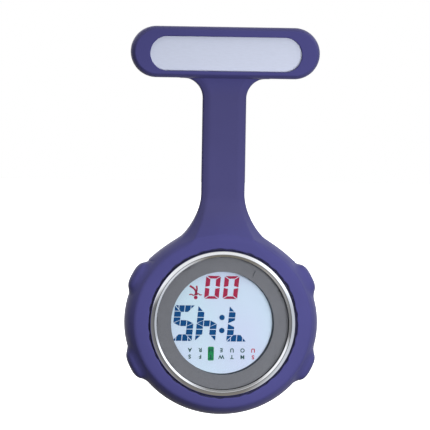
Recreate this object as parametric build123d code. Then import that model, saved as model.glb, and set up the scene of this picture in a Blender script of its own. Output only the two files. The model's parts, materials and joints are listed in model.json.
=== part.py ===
from build123d import *
import os
from math import cos, radians, sin

# Nurse's silicone fob watch, hanging as it is worn. Millimetres, +Z up, the dial faces -Y, the brooch pin
# lies behind the badge bar. The origin is the middle of the brooch pin's axis, level with the badge bar.

# ---- badge bar, the stadium at the top ----
BAR_WIDTH = 43.1
BAR_HEIGHT = 11.7
BAR_FRONT = -6.8
BAR_BACK = -2.0
BAR_EDGE = 0.7
WINDOW_WIDTH = 34.6
WINDOW_HEIGHT = 7.8
PLATE_WIDTH = 37.4
PLATE_HEIGHT = 9.6
PLATE_FRONT = -6.0
PLATE_THICK = 0.6
WINDOW_DROP = 0.35
BASE_FRONT = PLATE_FRONT + PLATE_THICK
BASE_WIDTH = 33.6
BASE_HEIGHT = 6.2
BASE_THICK = 0.8
BASE_BACK = BASE_FRONT + BASE_THICK
REAR_WINDOW_WIDTH = 32.0
REAR_WINDOW_HEIGHT = 5.4
SEAT_GAP = 0.05

# ---- brooch pin ----
PIN_RADIUS = 0.4
PIN_TIP_RADIUS = 0.08
PIN_EYE_RADIUS = 1.25
PIN_EYE_THICK = 1.1
PIN_STRAIGHT_END = 11.2
TAPER_START = -11.4
PIN_TIP = -14.9
RUNNING_GAP = 0.05
FOOT_THICK = 0.5
HINGE_X = 13.0
HINGE_RIVET_RADIUS = 0.5
HINGE_RIVET_HEAD_RADIUS = 0.85
HINGE_RIVET_HEAD_THICK = 0.3
EAR_INSIDE = PIN_EYE_THICK / 2 + RUNNING_GAP
EAR_THICK = 0.8
EAR_RADIUS = 1.5
CATCH_START = -12.0
CATCH_END = -15.0
CATCH_RADIUS = 1.9
CATCH_CHEEK = 0.75
COLLAR_NECK_RADIUS = 1.15
COLLAR_DRUM_RADIUS = 1.55
COLLAR_BORE = 0.5
COLLAR_TAB_REACH = 2.4
COLLAR_TAB_WIDTH = 1.0
STUD_PLACES = (-8.0, 8.0)
STUD_RADIUS = 0.7
STUD_HEAD_RADIUS = 1.2
STUD_HEAD_THICK = 0.4

# ---- strap ----
STRAP_WIDTH = 10.0
STRAP_FRONT = -4.8
STRAP_BACK = -2.2
STRAP_EDGE = 1.2
HINGE_LEVELS = (-14.0, -22.0, -30.0)
HINGE_GAP = 0.04
BAR_FILLET = 4.5
FLARE_START = -35.0
FLARE_RADIUS = 7.5
FLARE_SWEEP = 52.0
FLARE_RUN = 11.0
FLARE_BOTTOM = -50.0
RAMP_START = -34.0
RAMP_END = -42.0
RAMP_END_FRONT = -8.9
RAMP_BURIED = -45.0
RAMP_BURIED_FRONT = -7.3
UNDERSIDE_START = -37.0
UNDERSIDE_END = -43.0
UNDERSIDE_BACK = -0.9

# ---- pod, the silicone round the watch head ----
POD_Z = -61.55
POD_HALF_X = 22.0
POD_HALF_Z = 21.0
POD_BACK = 0.3
POD_BACK_INSET = 1.2
POD_SIDE_BACK = -1.6
POD_SIDE_FRONT = -6.7
RIDGE_Y = -9.5
RIDGE_INSET = 1.8
CROWN_Y = -9.9
CROWN_RADIUS = 18.6
LIP_RADIUS = 17.2
REAR_OPENING = 16.2

# ---- watch case, bezel and crystal ----
CASE_RADIUS = 17.9
CASE_FRONT = -9.0
CASE_STEP = -2.0
CASE_BACK = -0.9
CASE_BORE = 16.0
SHELF_RADIUS = 14.4
SHELF_FRONT = -8.2
SHELF_BACK = -7.7
BEZEL_RADIUS = 16.65
BEZEL_FRONT = -10.4
BEZEL_OPENING = 15.05
BEZEL_OUTER_RUN = 0.85
BEZEL_OUTER_RISE = 0.65
BEZEL_INNER_RUN = 0.7
BEZEL_SKIRT_INSET = 0.35
BEZEL_SEAT_INSET = 0.3
CRYSTAL_RADIUS = 15.6
CRYSTAL_FRONT = -9.9
CRYSTAL_THICK = 1.2
CRYSTAL_BACK = CRYSTAL_FRONT + CRYSTAL_THICK
CRYSTAL_GASKET_WIDTH = 0.55
MASK_RADIUS = 15.0
MASK_THICK = 0.2
MASK_WINDOW = 11.75
SPACER_INNER = 11.9
SPACER_INNER_BACK = 11.8
SPACER_OUTER = 15.85
SPACER_BACK = -7.4
BACK_COVER_RADIUS = 16.4
BACK_COVER_THICK = 0.8
COVER_FRONT = CASE_BACK - BACK_COVER_THICK
COVER_RECESS_RADIUS = 12.0
COVER_RECESS_DEPTH = 0.15
LUG_ANGLES = (65, 115, 245, 295)
LUG_DISTANCE = 14.6
LUG_RADIUS = 1.3
LUG_FRONT = -4.4
LUG_WEB = 2.0
SCREW_RADIUS = 0.5
SCREW_HEAD_RADIUS = 0.95
SCREW_HEAD_THICK = 0.4
SCREW_TIP = -4.0
SCREW_CROSS = 1.2
SCREW_SLOT_WIDTH = 0.22
SCREW_SLOT_DEPTH = 0.2
SCREW_PLAY = 0.02

# ---- display stack and module ----
LCD_WIDTH = 24.4
LCD_CORNER_RADIUS = 14.8
GLASS_HEIGHT = 27.4
GLASS_THICK = 0.6
REAR_GLASS_FRONT = SPACER_BACK + GLASS_THICK
FILM_FRONT = REAR_GLASS_FRONT + GLASS_THICK
FILM_THICK = 0.15
GUIDE_WIDTH = 24.0
GUIDE_FRONT = FILM_FRONT + FILM_THICK
GUIDE_THICK = 1.3
LED_THICK = 1.0
LED_HALF_WIDTH = 1.2
LED_GAP = 0.25
LED_CLEARANCE = 0.1
ZEBRA_HALF_LENGTH = 4.6
ZEBRA_HALF_WIDTH = 0.55
FRAME_RADIUS = 15.85
FRAME_BACK = -2.1
FRAME_CLEARANCE = 0.1
FRAME_LUG_CLEARANCE = 0.5
FRAME_WAY_START = 12.0
BOARD_FRONT = -4.5
BOARD_THICK = 0.6
BOARD_BACK = BOARD_FRONT + BOARD_THICK
BOARD_RADIUS = 15.1
BOARD_LUG_CLEARANCE = 0.2
BOARD_WAY_START = 14.0
MODULE_SCREWS = ((13.9, -3.4), (-13.9, 3.4))
MODULE_SCREW_RADIUS = 0.4
MODULE_SCREW_LENGTH = 1.1
MODULE_SCREW_HEAD_RADIUS = 0.75
MODULE_SCREW_HEAD_THICK = 0.35
MODULE_SCREW_SLOT = 0.2
BATTERY_X = -4.0
BATTERY_RADIUS = 8.0
BATTERY_THICK = 1.6
BATTERY_FRONT = -3.7
BATTERY_BACK = BATTERY_FRONT + BATTERY_THICK
BATTERY_CAP_INSET = 0.8
BATTERY_STEP = 0.25
STRIP_THICK = 0.12
CLIP_GAP = 0.5
CLIP_HALF_WIDTH = 1.5
CONTACT_FOOT = 12.8
CONTACT_FACE = 14.5
CONTACT_HALF_WIDTH = 0.6
CHIP_X = 8.6
CHIP_RADIUS = 2.7
CHIP_THICK = 0.8
CHIP_ROUND = 0.6
QUARTZ_RADIUS = 0.7
QUARTZ_ENDS = (3.5, 8.5)
QUARTZ_DROP = 8.6
QUARTZ_ROUND = 0.15
BUZZER_X = 9.4
BUZZER_RADIUS = 4.8
BUZZER_THICK = 0.25
BUZZER_FRONT = COVER_FRONT - BUZZER_THICK
BUZZER_SPRING_RADIUS = 0.5
BUZZER_SPRING_WIRE = 0.1
BUZZER_SPRING_TURNS = 4
BUZZER_SPRING_PLACE = (9.2, 3.9)

# ---- buttons round the pod ----
BUTTONS = {"upper_right": 28, "upper_left": 152, "lower_left": 206.5, "lower_right": 333.5}
BUTTON_Y = -4.4
BUMP_OUTER = 23.2
BUMP_INNER = 20.2
BUMP_WIDTH = 7.0
BUMP_DEPTH = 5.6
BUMP_SIDE_ROUND = 1.2
BUMP_FACE_ROUND = 1.0
POCKET_FLOOR = 19.35
POCKET_GAP = 0.1
SHAFT_RADIUS = 0.9
SHAFT_END = 15.4
SHAFT_WAY_RADIUS = 1.5
HEAD_RADIUS = 1.5
HEAD_INNER = 18.95
GROOVE_RADIUS = 0.6
SEAL_GROOVE = (16.35, 16.8)
SEAL_WIRE = 0.15
CLIP_GROOVE = (15.7, 15.95)
CLIP_RADIUS = 1.2
CLIP_PLAY = 0.02
COUNTERBORE_FLOOR = 17.1
COUNTERBORE_RADIUS = 1.45
SPRING_RADIUS = 1.2
SPRING_WIRE = 0.13
SPRING_TURNS = 3
SPRING_SLACK = 0.02


# ---------------------------------------------------------------- helpers ----
def level(y):
    """A sketch plane at depth y, seen from the front: its x is +X and its y is +Z."""
    return Plane.XZ.offset(-y)


def slab(outline, front, back):
    """A flat outline given depth, from its front face at y = front to its back face at y = back."""
    return extrude(level(back) * outline, back - front)


def disc(radius, front, back):
    """A round plate on the pod's axis."""
    return slab(Pos(0, POD_Z) * Circle(radius), front, back)


def ring(outer, inner, front, back):
    """A flat ring on the pod's axis."""
    return slab(Pos(0, POD_Z) * (Circle(outer) - Circle(inner)), front, back)


def turned(profile):
    """A body of revolution on the pod's axis, from its (radius, y) outline."""
    section = Plane((0, 0, POD_Z)) * make_face(Polyline(*profile, close=True))
    return revolve(section, Axis((0, 0, POD_Z), (0, 1, 0)))


def stack(levels):
    """Ellipses (y, half x, half z) round the pod's axis, joined by straight walls."""
    sections = []
    for y, half_x, half_z in levels:
        sections.append(level(y) * Pos(0, POD_Z) * Ellipse(half_x, half_z))
    return loft(sections, ruled=True)


def post(radius, start, end):
    """A round bar lying along +X, from x = start to x = end."""
    bar = Cylinder(radius, end - start, align=(Align.CENTER, Align.CENTER, Align.MIN))
    return Pos(start, 0, 0) * Rot(0, 90, 0) * bar


def upright(radius, bottom, top):
    """A round bar standing along +Z, from z = bottom to z = top."""
    bar = Cylinder(radius, top - bottom, align=(Align.CENTER, Align.CENTER, Align.MIN))
    return Pos(0, 0, bottom) * bar


def beam(low, high):
    """A square-edged block between two opposite corners."""
    size = [b - a for a, b in zip(low, high)]
    middle = [(a + b) / 2 for a, b in zip(low, high)]
    return Pos(*middle) * Box(*size)


def at_button(angle, shape):
    """Turns a shape made along +X, with x as its distance from the pod's axis, to a button's place."""
    return Pos(0, BUTTON_Y, POD_Z) * Rot(0, -angle, 0) * shape


def on_dial(angle, distance):
    """The sketch place at an angle and distance from the pod's axis."""
    return Pos(distance * cos(radians(angle)), POD_Z + distance * sin(radians(angle)))


def joined(shapes):
    """Several separate solids kept together as one piece of the assembly."""
    return Compound(children=list(shapes))


# -------------------------------------------------------------- badge bar ----
def strap_piece(top, bottom):
    """A straight length of the strap, with rounded long edges."""
    section = RectangleRounded(STRAP_WIDTH, STRAP_BACK - STRAP_FRONT, STRAP_EDGE)
    middle = (STRAP_FRONT + STRAP_BACK) / 2
    return extrude(Plane.XY.offset(bottom) * Pos(0, middle) * section, top - bottom)


def bar_fillet(side):
    """The concave web between the bar's underside and one edge of the strap."""
    corner = side * STRAP_WIDTH / 2
    far = side * (STRAP_WIDTH / 2 + BAR_FILLET)
    root = -BAR_HEIGHT / 2
    block = beam(
        (min(corner, far), STRAP_FRONT, root - BAR_FILLET),
        (max(corner, far), STRAP_BACK, root + STRAP_EDGE),
    )
    return block - slab(Pos(far, root - BAR_FILLET) * Circle(BAR_FILLET), STRAP_FRONT, STRAP_BACK)


def badge_frame():
    """Silicone bar: front window, groove for the plate and pin base, rear window and the strap's root."""
    bar = slab(SlotOverall(BAR_WIDTH, BAR_HEIGHT), BAR_FRONT, BAR_BACK)
    rims = bar.faces().filter_by(Axis.Y).edges()
    bar = fillet(rims, BAR_EDGE)
    bar += strap_piece(0, HINGE_LEVELS[0] + HINGE_GAP / 2)
    bar += bar_fillet(1) + bar_fillet(-1)
    gap = 2 * SEAT_GAP
    lowered = Pos(0, -WINDOW_DROP)
    bar -= slab(lowered * SlotOverall(WINDOW_WIDTH, WINDOW_HEIGHT), BAR_FRONT, PLATE_FRONT)
    bar -= slab(lowered * SlotOverall(PLATE_WIDTH + gap, PLATE_HEIGHT + gap), PLATE_FRONT, BASE_FRONT)
    bar -= slab(SlotOverall(BASE_WIDTH + gap, BASE_HEIGHT + gap), BASE_FRONT, BASE_BACK)
    bar -= slab(SlotOverall(REAR_WINDOW_WIDTH, REAR_WINDOW_HEIGHT), BASE_BACK, BAR_BACK)
    return bar


def badge_plate():
    """Thin polished plate that shows in the bar's window."""
    outline = Pos(0, -WINDOW_DROP) * SlotOverall(PLATE_WIDTH, PLATE_HEIGHT)
    return slab(outline, PLATE_FRONT, BASE_FRONT)


# ------------------------------------------------------------- brooch pin ----
def brooch_base():
    """Steel strip behind the plate that carries the pin's hinge and catch."""
    strip = slab(SlotOverall(BASE_WIDTH, BASE_HEIGHT), BASE_FRONT, BASE_BACK)
    for x in STUD_PLACES:
        strip -= slab(Pos(x, 0) * Circle(STUD_RADIUS), BASE_FRONT, BASE_BACK)
    return strip


def brooch_rivets():
    """Two studs on the plate's back, headed over behind the base strip."""
    studs = []
    for x in STUD_PLACES:
        shank = slab(Pos(x, 0) * Circle(STUD_RADIUS), BASE_FRONT, BASE_BACK)
        head = slab(Pos(x, 0) * Circle(STUD_HEAD_RADIUS), BASE_BACK, BASE_BACK + STUD_HEAD_THICK)
        head = fillet(head.faces().sort_by(Axis.Y)[-1].edges(), STUD_HEAD_THICK / 2)
        studs.append(shank + head)
    return joined(studs)


def hinge_knuckle():
    """Bracket with two ears that hold the pin's eye."""
    ear_outside = EAR_INSIDE + EAR_THICK
    bracket = beam(
        (HINGE_X - EAR_RADIUS, BASE_BACK, -ear_outside),
        (HINGE_X + EAR_RADIUS, BASE_BACK + FOOT_THICK, ear_outside),
    )
    for side in (-1, 1):
        low, high = sorted((side * EAR_INSIDE, side * ear_outside))
        ear = beam((HINGE_X - EAR_RADIUS, BASE_BACK, low), (HINGE_X + EAR_RADIUS, 0, high))
        bracket += ear + Pos(HINGE_X, 0, 0) * upright(EAR_RADIUS, low, high)
    bore = upright(HINGE_RIVET_RADIUS + RUNNING_GAP, -ear_outside, ear_outside)
    return bracket - Pos(HINGE_X, 0, 0) * bore


def hinge_rivet():
    """Headed rivet through both ears and the pin's eye."""
    reach = EAR_INSIDE + EAR_THICK
    rivet = upright(HINGE_RIVET_RADIUS, -reach, reach)
    rivet += upright(HINGE_RIVET_HEAD_RADIUS, reach, reach + HINGE_RIVET_HEAD_THICK)
    rivet += upright(HINGE_RIVET_HEAD_RADIUS, -reach - HINGE_RIVET_HEAD_THICK, -reach)
    return Pos(HINGE_X, 0, 0) * rivet


def pin_stem():
    """Steel pin: an eye round the rivet, a straight stem and a tapered point inside the catch."""
    half = PIN_EYE_THICK / 2
    eye = Pos(HINGE_X, 0, 0) * upright(PIN_EYE_RADIUS, -half, half)
    eye += beam((PIN_STRAIGHT_END, -half, -half), (HINGE_X, half, half))
    eye -= Pos(HINGE_X, 0, 0) * upright(HINGE_RIVET_RADIUS + RUNNING_GAP, -half, half)
    stem = post(PIN_RADIUS, TAPER_START, PIN_STRAIGHT_END)
    length = TAPER_START - PIN_TIP
    point = Cone(PIN_TIP_RADIUS, PIN_RADIUS, length, align=(Align.CENTER, Align.CENTER, Align.MIN))
    return eye + stem + Pos(PIN_TIP, 0, 0) * Rot(0, 90, 0) * point


def catch_body():
    """Catch with two slotted cheeks, open to the back, that the pin's point drops into."""
    bracket = beam(
        (CATCH_END, BASE_BACK, -CATCH_RADIUS),
        (CATCH_START, BASE_BACK + FOOT_THICK, CATCH_RADIUS),
    )
    slot = COLLAR_BORE
    for start in (CATCH_END, CATCH_START - CATCH_CHEEK):
        end = start + CATCH_CHEEK
        cheek = post(CATCH_RADIUS, start, end)
        cheek += beam((start, BASE_BACK, -CATCH_RADIUS), (end, 0, CATCH_RADIUS))
        cheek -= post(COLLAR_NECK_RADIUS + RUNNING_GAP, start, end)
        cheek -= beam((start, 0, -slot), (end, CATCH_RADIUS, slot))
        bracket += cheek
    return bracket


def catch_collar():
    """Turning safety collar: slotted like the catch when open, closed over the pin when turned."""
    drum_start = CATCH_END + CATCH_CHEEK + RUNNING_GAP
    drum_end = CATCH_START - CATCH_CHEEK - RUNNING_GAP
    collar = post(COLLAR_NECK_RADIUS, CATCH_END, CATCH_START)
    collar += post(COLLAR_DRUM_RADIUS, drum_start, drum_end)
    tab_half = COLLAR_TAB_WIDTH / 2
    collar += beam(
        (drum_start, -tab_half, -COLLAR_TAB_REACH),
        (drum_end, tab_half, -COLLAR_NECK_RADIUS),
    )
    collar -= post(COLLAR_BORE, CATCH_END, CATCH_START)
    slot = (CATCH_START, COLLAR_DRUM_RADIUS, COLLAR_BORE)
    return collar - beam((CATCH_END, 0, -COLLAR_BORE), slot)


# ------------------------------------------------------------- strap, pod ----
def strap_link(number):
    """One flexing length of the strap, between two bending lines."""
    top = HINGE_LEVELS[number] - HINGE_GAP / 2
    bottom = HINGE_LEVELS[number + 1] + HINGE_GAP / 2
    return strap_piece(top, bottom)


def flare():
    """The strap's widening foot: a curved plan cut to a ramp that climbs to the pod's front ridge."""
    half = STRAP_WIDTH / 2
    start = (half, RAMP_START)
    straight = Line(start, (half, FLARE_START))
    bend = JernArc(straight @ 1, (0, -1), FLARE_RADIUS, FLARE_SWEEP)
    run = PolarLine(bend @ 1, FLARE_RUN, direction=bend % 1)
    drop = Line(run @ 1, ((run @ 1).X, FLARE_BOTTOM))
    side = straight + bend + run + drop
    top = Line((-half, RAMP_START), start)
    bottom = Line((-(run @ 1).X, FLARE_BOTTOM), drop @ 1)
    plan = make_face(side + mirror(side, Plane.YZ) + top + bottom)
    ramp = (
        (STRAP_FRONT, RAMP_START),
        (RAMP_END_FRONT, RAMP_END),
        (RAMP_BURIED_FRONT, RAMP_BURIED),
        (RAMP_BURIED_FRONT, FLARE_BOTTOM),
    )
    underside = (
        (UNDERSIDE_BACK, FLARE_BOTTOM),
        (UNDERSIDE_BACK, UNDERSIDE_END),
        (STRAP_BACK, UNDERSIDE_START),
        (STRAP_BACK, RAMP_START),
    )
    profile = make_face(Polyline(*ramp, *underside, close=True))
    wide = (run @ 1).X
    return slab(plan, CROWN_Y, POD_BACK) & extrude(Plane.YZ * profile, wide, both=True)


def pod_shell():
    """Silicone holder: an oval ring with a lip over the watch, four button pockets and the strap's foot."""
    shell = stack((
        (POD_BACK, POD_HALF_X - POD_BACK_INSET, POD_HALF_Z - POD_BACK_INSET),
        (POD_SIDE_BACK, POD_HALF_X, POD_HALF_Z),
        (POD_SIDE_FRONT, POD_HALF_X, POD_HALF_Z),
        (RIDGE_Y, POD_HALF_X - RIDGE_INSET, POD_HALF_Z - RIDGE_INSET),
        (CROWN_Y, CROWN_RADIUS, CROWN_RADIUS - (POD_HALF_X - POD_HALF_Z)),
    ))
    shell += flare() + strap_piece(HINGE_LEVELS[2] - HINGE_GAP / 2, FLARE_START)
    shell -= disc(CASE_RADIUS + SEAT_GAP, CASE_FRONT - SEAT_GAP, CASE_BACK + SEAT_GAP)
    shell -= disc(LIP_RADIUS, CROWN_Y, CASE_FRONT)
    shell -= disc(REAR_OPENING, CASE_BACK, POD_BACK)
    half_width = BUMP_WIDTH / 2 + POCKET_GAP
    half_depth = BUMP_DEPTH / 2 + POCKET_GAP
    for angle in BUTTONS.values():
        pocket = beam((POCKET_FLOOR, -half_depth, -half_width), (BUMP_OUTER, half_depth, half_width))
        hole = post(HEAD_RADIUS + POCKET_GAP, CASE_RADIUS, POCKET_FLOOR)
        shell -= at_button(angle, pocket + hole)
    return shell


def bump(angle):
    """The raised silicone pad over one button, which is pressed towards the pod's middle."""
    pad = beam(
        (BUMP_INNER, -BUMP_DEPTH / 2, -BUMP_WIDTH / 2),
        (BUMP_OUTER, BUMP_DEPTH / 2, BUMP_WIDTH / 2),
    )
    pad = fillet(pad.edges().filter_by(Axis.X), BUMP_SIDE_ROUND)
    pad = fillet(pad.faces().sort_by(Axis.X)[-1].edges(), BUMP_FACE_ROUND)
    return at_button(angle, pad)


# ---------------------------------------------------------------- buttons ----
def pusher(angle):
    """Steel push rod with a flat head, a groove for its seal and a groove for its clip."""
    rod = post(SHAFT_RADIUS, SHAFT_END, HEAD_INNER) + post(HEAD_RADIUS, HEAD_INNER, BUMP_INNER)
    for start, end in (SEAL_GROOVE, CLIP_GROOVE):
        rod -= post(SHAFT_RADIUS, start, end) - post(GROOVE_RADIUS, start, end)
    return at_button(angle, rod)


def pusher_seal(angle):
    """Rubber O-ring in the push rod's seal groove."""
    middle = sum(SEAL_GROOVE) / 2
    seal = Torus(GROOVE_RADIUS + SEAL_WIRE, SEAL_WIRE)
    return at_button(angle, Pos(middle, 0, 0) * Rot(0, 90, 0) * seal)


def pusher_clip(angle):
    """Split retaining clip that keeps the push rod in the case wall."""
    start, end = CLIP_GROOVE
    clip = post(CLIP_RADIUS, start + CLIP_PLAY, end - CLIP_PLAY) - post(GROOVE_RADIUS, start, end)
    mouth = beam((start, -GROOVE_RADIUS, 0), (end, GROOVE_RADIUS, CLIP_RADIUS))
    return at_button(angle, clip - mouth)


def coil(radius, wire, height, turns):
    """A small coil spring along +Z, standing on z = 0."""
    path = Helix(pitch=(height - 2 * wire) / turns, height=height - 2 * wire, radius=radius)
    section = Plane(origin=path @ 0, z_dir=path % 0) * Circle(wire)
    return Pos(0, 0, wire) * sweep(section, path, is_frenet=True)


def pusher_spring(angle):
    """Return spring between the case wall and the push rod's head."""
    length = HEAD_INNER - COUNTERBORE_FLOOR - 2 * SPRING_SLACK
    spring = coil(SPRING_RADIUS, SPRING_WIRE, length, SPRING_TURNS)
    return at_button(angle, Pos(COUNTERBORE_FLOOR + SPRING_SLACK, 0, 0) * Rot(0, 90, 0) * spring)


# ------------------------------------------------------------- watch case ----
def case_body():
    """Watch case: a ring wall with a front shelf, four screw lugs and four sealed button bores."""
    bezel_seat = BEZEL_RADIUS - BEZEL_SEAT_INSET
    body = turned((
        (CASE_RADIUS, CASE_FRONT),
        (bezel_seat, CASE_FRONT),
        (bezel_seat, SHELF_FRONT),
        (SHELF_RADIUS, SHELF_FRONT),
        (SHELF_RADIUS, SHELF_BACK),
        (CASE_BORE, SHELF_BACK),
        (CASE_BORE, CASE_STEP),
        (BACK_COVER_RADIUS + SEAT_GAP, CASE_STEP),
        (BACK_COVER_RADIUS + SEAT_GAP, CASE_BACK),
        (CASE_RADIUS, CASE_BACK),
    ))
    for angle in LUG_ANGLES:
        place = on_dial(angle, LUG_DISTANCE)
        web = on_dial(angle, CASE_BORE)
        body += slab(place * Circle(LUG_RADIUS), LUG_FRONT, COVER_FRONT)
        body += slab(web * Rot(0, 0, angle) * Rectangle(LUG_WEB, 2 * LUG_RADIUS), LUG_FRONT, CASE_STEP)
    body -= ring(CASE_RADIUS + LUG_WEB, CASE_RADIUS, CASE_FRONT, CASE_BACK)
    for angle in LUG_ANGLES:
        hole = on_dial(angle, LUG_DISTANCE) * Circle(SCREW_RADIUS + SCREW_PLAY)
        body -= slab(hole, SCREW_TIP - SEAT_GAP, COVER_FRONT)
    for angle in BUTTONS.values():
        bore = post(SHAFT_RADIUS + RUNNING_GAP, SHAFT_END, CASE_RADIUS)
        bore += post(COUNTERBORE_RADIUS, COUNTERBORE_FLOOR, HEAD_INNER)
        body -= at_button(angle, bore)
    return body


def bezel_ring():
    """Polished bezel with a sloped inner edge, which holds the crystal down."""
    skirt = BEZEL_RADIUS - BEZEL_SKIRT_INSET
    skirt_back = SHELF_FRONT - SEAT_GAP
    return turned((
        (BEZEL_RADIUS, CASE_FRONT),
        (BEZEL_RADIUS, BEZEL_FRONT + BEZEL_OUTER_RISE),
        (BEZEL_RADIUS - BEZEL_OUTER_RUN, BEZEL_FRONT),
        (BEZEL_OPENING + BEZEL_INNER_RUN, BEZEL_FRONT),
        (BEZEL_OPENING, CRYSTAL_FRONT - SEAT_GAP),
        (BEZEL_OPENING, CRYSTAL_FRONT),
        (CRYSTAL_RADIUS + SEAT_GAP, CRYSTAL_FRONT),
        (CRYSTAL_RADIUS + SEAT_GAP, skirt_back),
        (skirt, skirt_back),
        (skirt, CASE_FRONT),
    ))


def crystal():
    """Flat mineral glass over the dial."""
    return disc(CRYSTAL_RADIUS, CRYSTAL_FRONT, CRYSTAL_BACK)


def crystal_gasket():
    """Nylon ring that seals the crystal to the case shelf."""
    return ring(CRYSTAL_RADIUS, CRYSTAL_RADIUS - CRYSTAL_GASKET_WIDTH, CRYSTAL_BACK, SHELF_FRONT)


def dial_mask():
    """Grey mask under the crystal, with a round window over the display."""
    return ring(MASK_RADIUS, MASK_WINDOW, CRYSTAL_BACK, CRYSTAL_BACK + MASK_THICK)


def dial_spacer():
    """Dark stepped ring, narrowing inwards, that sets the display back from the mask."""
    top = CRYSTAL_BACK + MASK_THICK
    flange_front = SHELF_BACK + SEAT_GAP
    return turned((
        (SPACER_INNER, top),
        (SHELF_RADIUS - SEAT_GAP, top),
        (SHELF_RADIUS - SEAT_GAP, flange_front),
        (SPACER_OUTER, flange_front),
        (SPACER_OUTER, SPACER_BACK),
        (SPACER_INNER_BACK, SPACER_BACK),
    ))


def case_gasket():
    """Flat rubber gasket between the case and its back cover."""
    return ring(BACK_COVER_RADIUS, CASE_BORE + SEAT_GAP, CASE_STEP, COVER_FRONT)


def case_back():
    """Steel back cover with four countersunk screw holes and a shallow centre recess."""
    cover = disc(BACK_COVER_RADIUS, COVER_FRONT, CASE_BACK)
    for angle in LUG_ANGLES:
        place = on_dial(angle, LUG_DISTANCE)
        cover -= slab(place * Circle(SCREW_RADIUS + SEAT_GAP), COVER_FRONT, CASE_BACK)
        seat = CASE_BACK - SCREW_HEAD_THICK
        cover -= slab(place * Circle(SCREW_HEAD_RADIUS + SEAT_GAP), seat, CASE_BACK)
    return cover - disc(COVER_RECESS_RADIUS, CASE_BACK - COVER_RECESS_DEPTH, CASE_BACK)


def case_screws():
    """Four small cross-head screws that hold the back cover."""
    screws = []
    seat = CASE_BACK - SCREW_HEAD_THICK
    for angle in LUG_ANGLES:
        place = on_dial(angle, LUG_DISTANCE)
        screw = slab(place * Circle(SCREW_HEAD_RADIUS), seat, CASE_BACK)
        screw += slab(place * Circle(SCREW_RADIUS), SCREW_TIP, seat)
        cross = Rectangle(SCREW_CROSS, SCREW_SLOT_WIDTH) + Rectangle(SCREW_SLOT_WIDTH, SCREW_CROSS)
        screws.append(screw - slab(place * cross, CASE_BACK - SCREW_SLOT_DEPTH, CASE_BACK))
    return joined(screws)


# ----------------------------------------------------------- watch module ----
def display_outline(width, height, corner_radius):
    """A rectangle with its corners cut to a circle, so that it fits the round case."""
    return Rectangle(width, height) & Circle(corner_radius)


def display_layer(width, height, corner_radius, front, thickness):
    """One flat layer of the display stack."""
    outline = Pos(0, POD_Z) * display_outline(width, height, corner_radius)
    return slab(outline, front, front + thickness)


def lcd_front_glass():
    """Front glass, with a bare contact edge above and below."""
    return display_layer(LCD_WIDTH, GLASS_HEIGHT, LCD_CORNER_RADIUS, SPACER_BACK, GLASS_THICK)


def lcd_rear_glass():
    """Rear glass of the display."""
    return display_layer(LCD_WIDTH, LCD_WIDTH, LCD_CORNER_RADIUS, REAR_GLASS_FRONT, GLASS_THICK)


def lcd_reflector():
    """Pearly film behind the display."""
    return display_layer(LCD_WIDTH, LCD_WIDTH, LCD_CORNER_RADIUS, FILM_FRONT, FILM_THICK)


def light_guide():
    """Clear plastic plate that spreads the back light."""
    return display_layer(GUIDE_WIDTH, GUIDE_WIDTH, LCD_CORNER_RADIUS, GUIDE_FRONT, GUIDE_THICK)


def zebra_strips():
    """Two soft conductive strips from the display's contact edges to the circuit board."""
    strips = []
    middle = (LCD_WIDTH + GLASS_HEIGHT) / 4
    for side in (-1, 1):
        z = POD_Z + side * middle
        low = (-ZEBRA_HALF_LENGTH, REAR_GLASS_FRONT, z - ZEBRA_HALF_WIDTH)
        strips.append(beam(low, (ZEBRA_HALF_LENGTH, BOARD_FRONT, z + ZEBRA_HALF_WIDTH)))
    return joined(strips)


def pusher_ways(start):
    """Clear ways round the four push rods, from a distance off the pod's axis outwards."""
    ways = []
    for angle in BUTTONS.values():
        ways.append(at_button(angle, post(SHAFT_WAY_RADIUS, start, CASE_RADIUS)))
    return ways


def module_frame():
    """Plastic frame that holds the display stack in front and the circuit board behind."""
    room = FRAME_CLEARANCE
    outline = display_outline(LCD_WIDTH + 2 * room, GLASS_HEIGHT + 2 * room, LCD_CORNER_RADIUS + room)
    frame = disc(FRAME_RADIUS, SPACER_BACK, FRAME_BACK)
    frame -= slab(Pos(0, POD_Z) * outline, SPACER_BACK, BOARD_FRONT)
    frame -= disc(BOARD_RADIUS + SEAT_GAP, BOARD_FRONT, FRAME_BACK)
    for angle in LUG_ANGLES:
        place = on_dial(angle, LUG_DISTANCE + FRAME_LUG_CLEARANCE)
        notch = place * Circle(LUG_RADIUS + FRAME_LUG_CLEARANCE)
        frame -= slab(notch, BOARD_FRONT, FRAME_BACK)
    for way in pusher_ways(FRAME_WAY_START):
        frame -= way
    for x, z in MODULE_SCREWS:
        hole = Pos(x, POD_Z + z) * Circle(MODULE_SCREW_RADIUS + SCREW_PLAY)
        frame -= slab(hole, BOARD_FRONT - MODULE_SCREW_LENGTH - room, BOARD_FRONT)
    edge = -LCD_WIDTH / 2
    half = LED_HALF_WIDTH + room
    lamp_seat = beam((edge - LED_THICK - room, GUIDE_FRONT, -half), (edge, BOARD_FRONT, half))
    return frame - Pos(0, 0, POD_Z) * lamp_seat


def circuit_board():
    """Round circuit board, notched for the case lugs and push rods."""
    board = disc(BOARD_RADIUS, BOARD_FRONT, BOARD_BACK)
    for angle in LUG_ANGLES:
        notch = on_dial(angle, LUG_DISTANCE) * Circle(LUG_RADIUS + BOARD_LUG_CLEARANCE)
        board -= slab(notch, BOARD_FRONT, BOARD_BACK)
    for way in pusher_ways(BOARD_WAY_START):
        board -= way
    for x, z in MODULE_SCREWS:
        hole = Pos(x, POD_Z + z) * Circle(MODULE_SCREW_RADIUS + SEAT_GAP)
        board -= slab(hole, BOARD_FRONT, BOARD_BACK)
    return board


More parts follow.
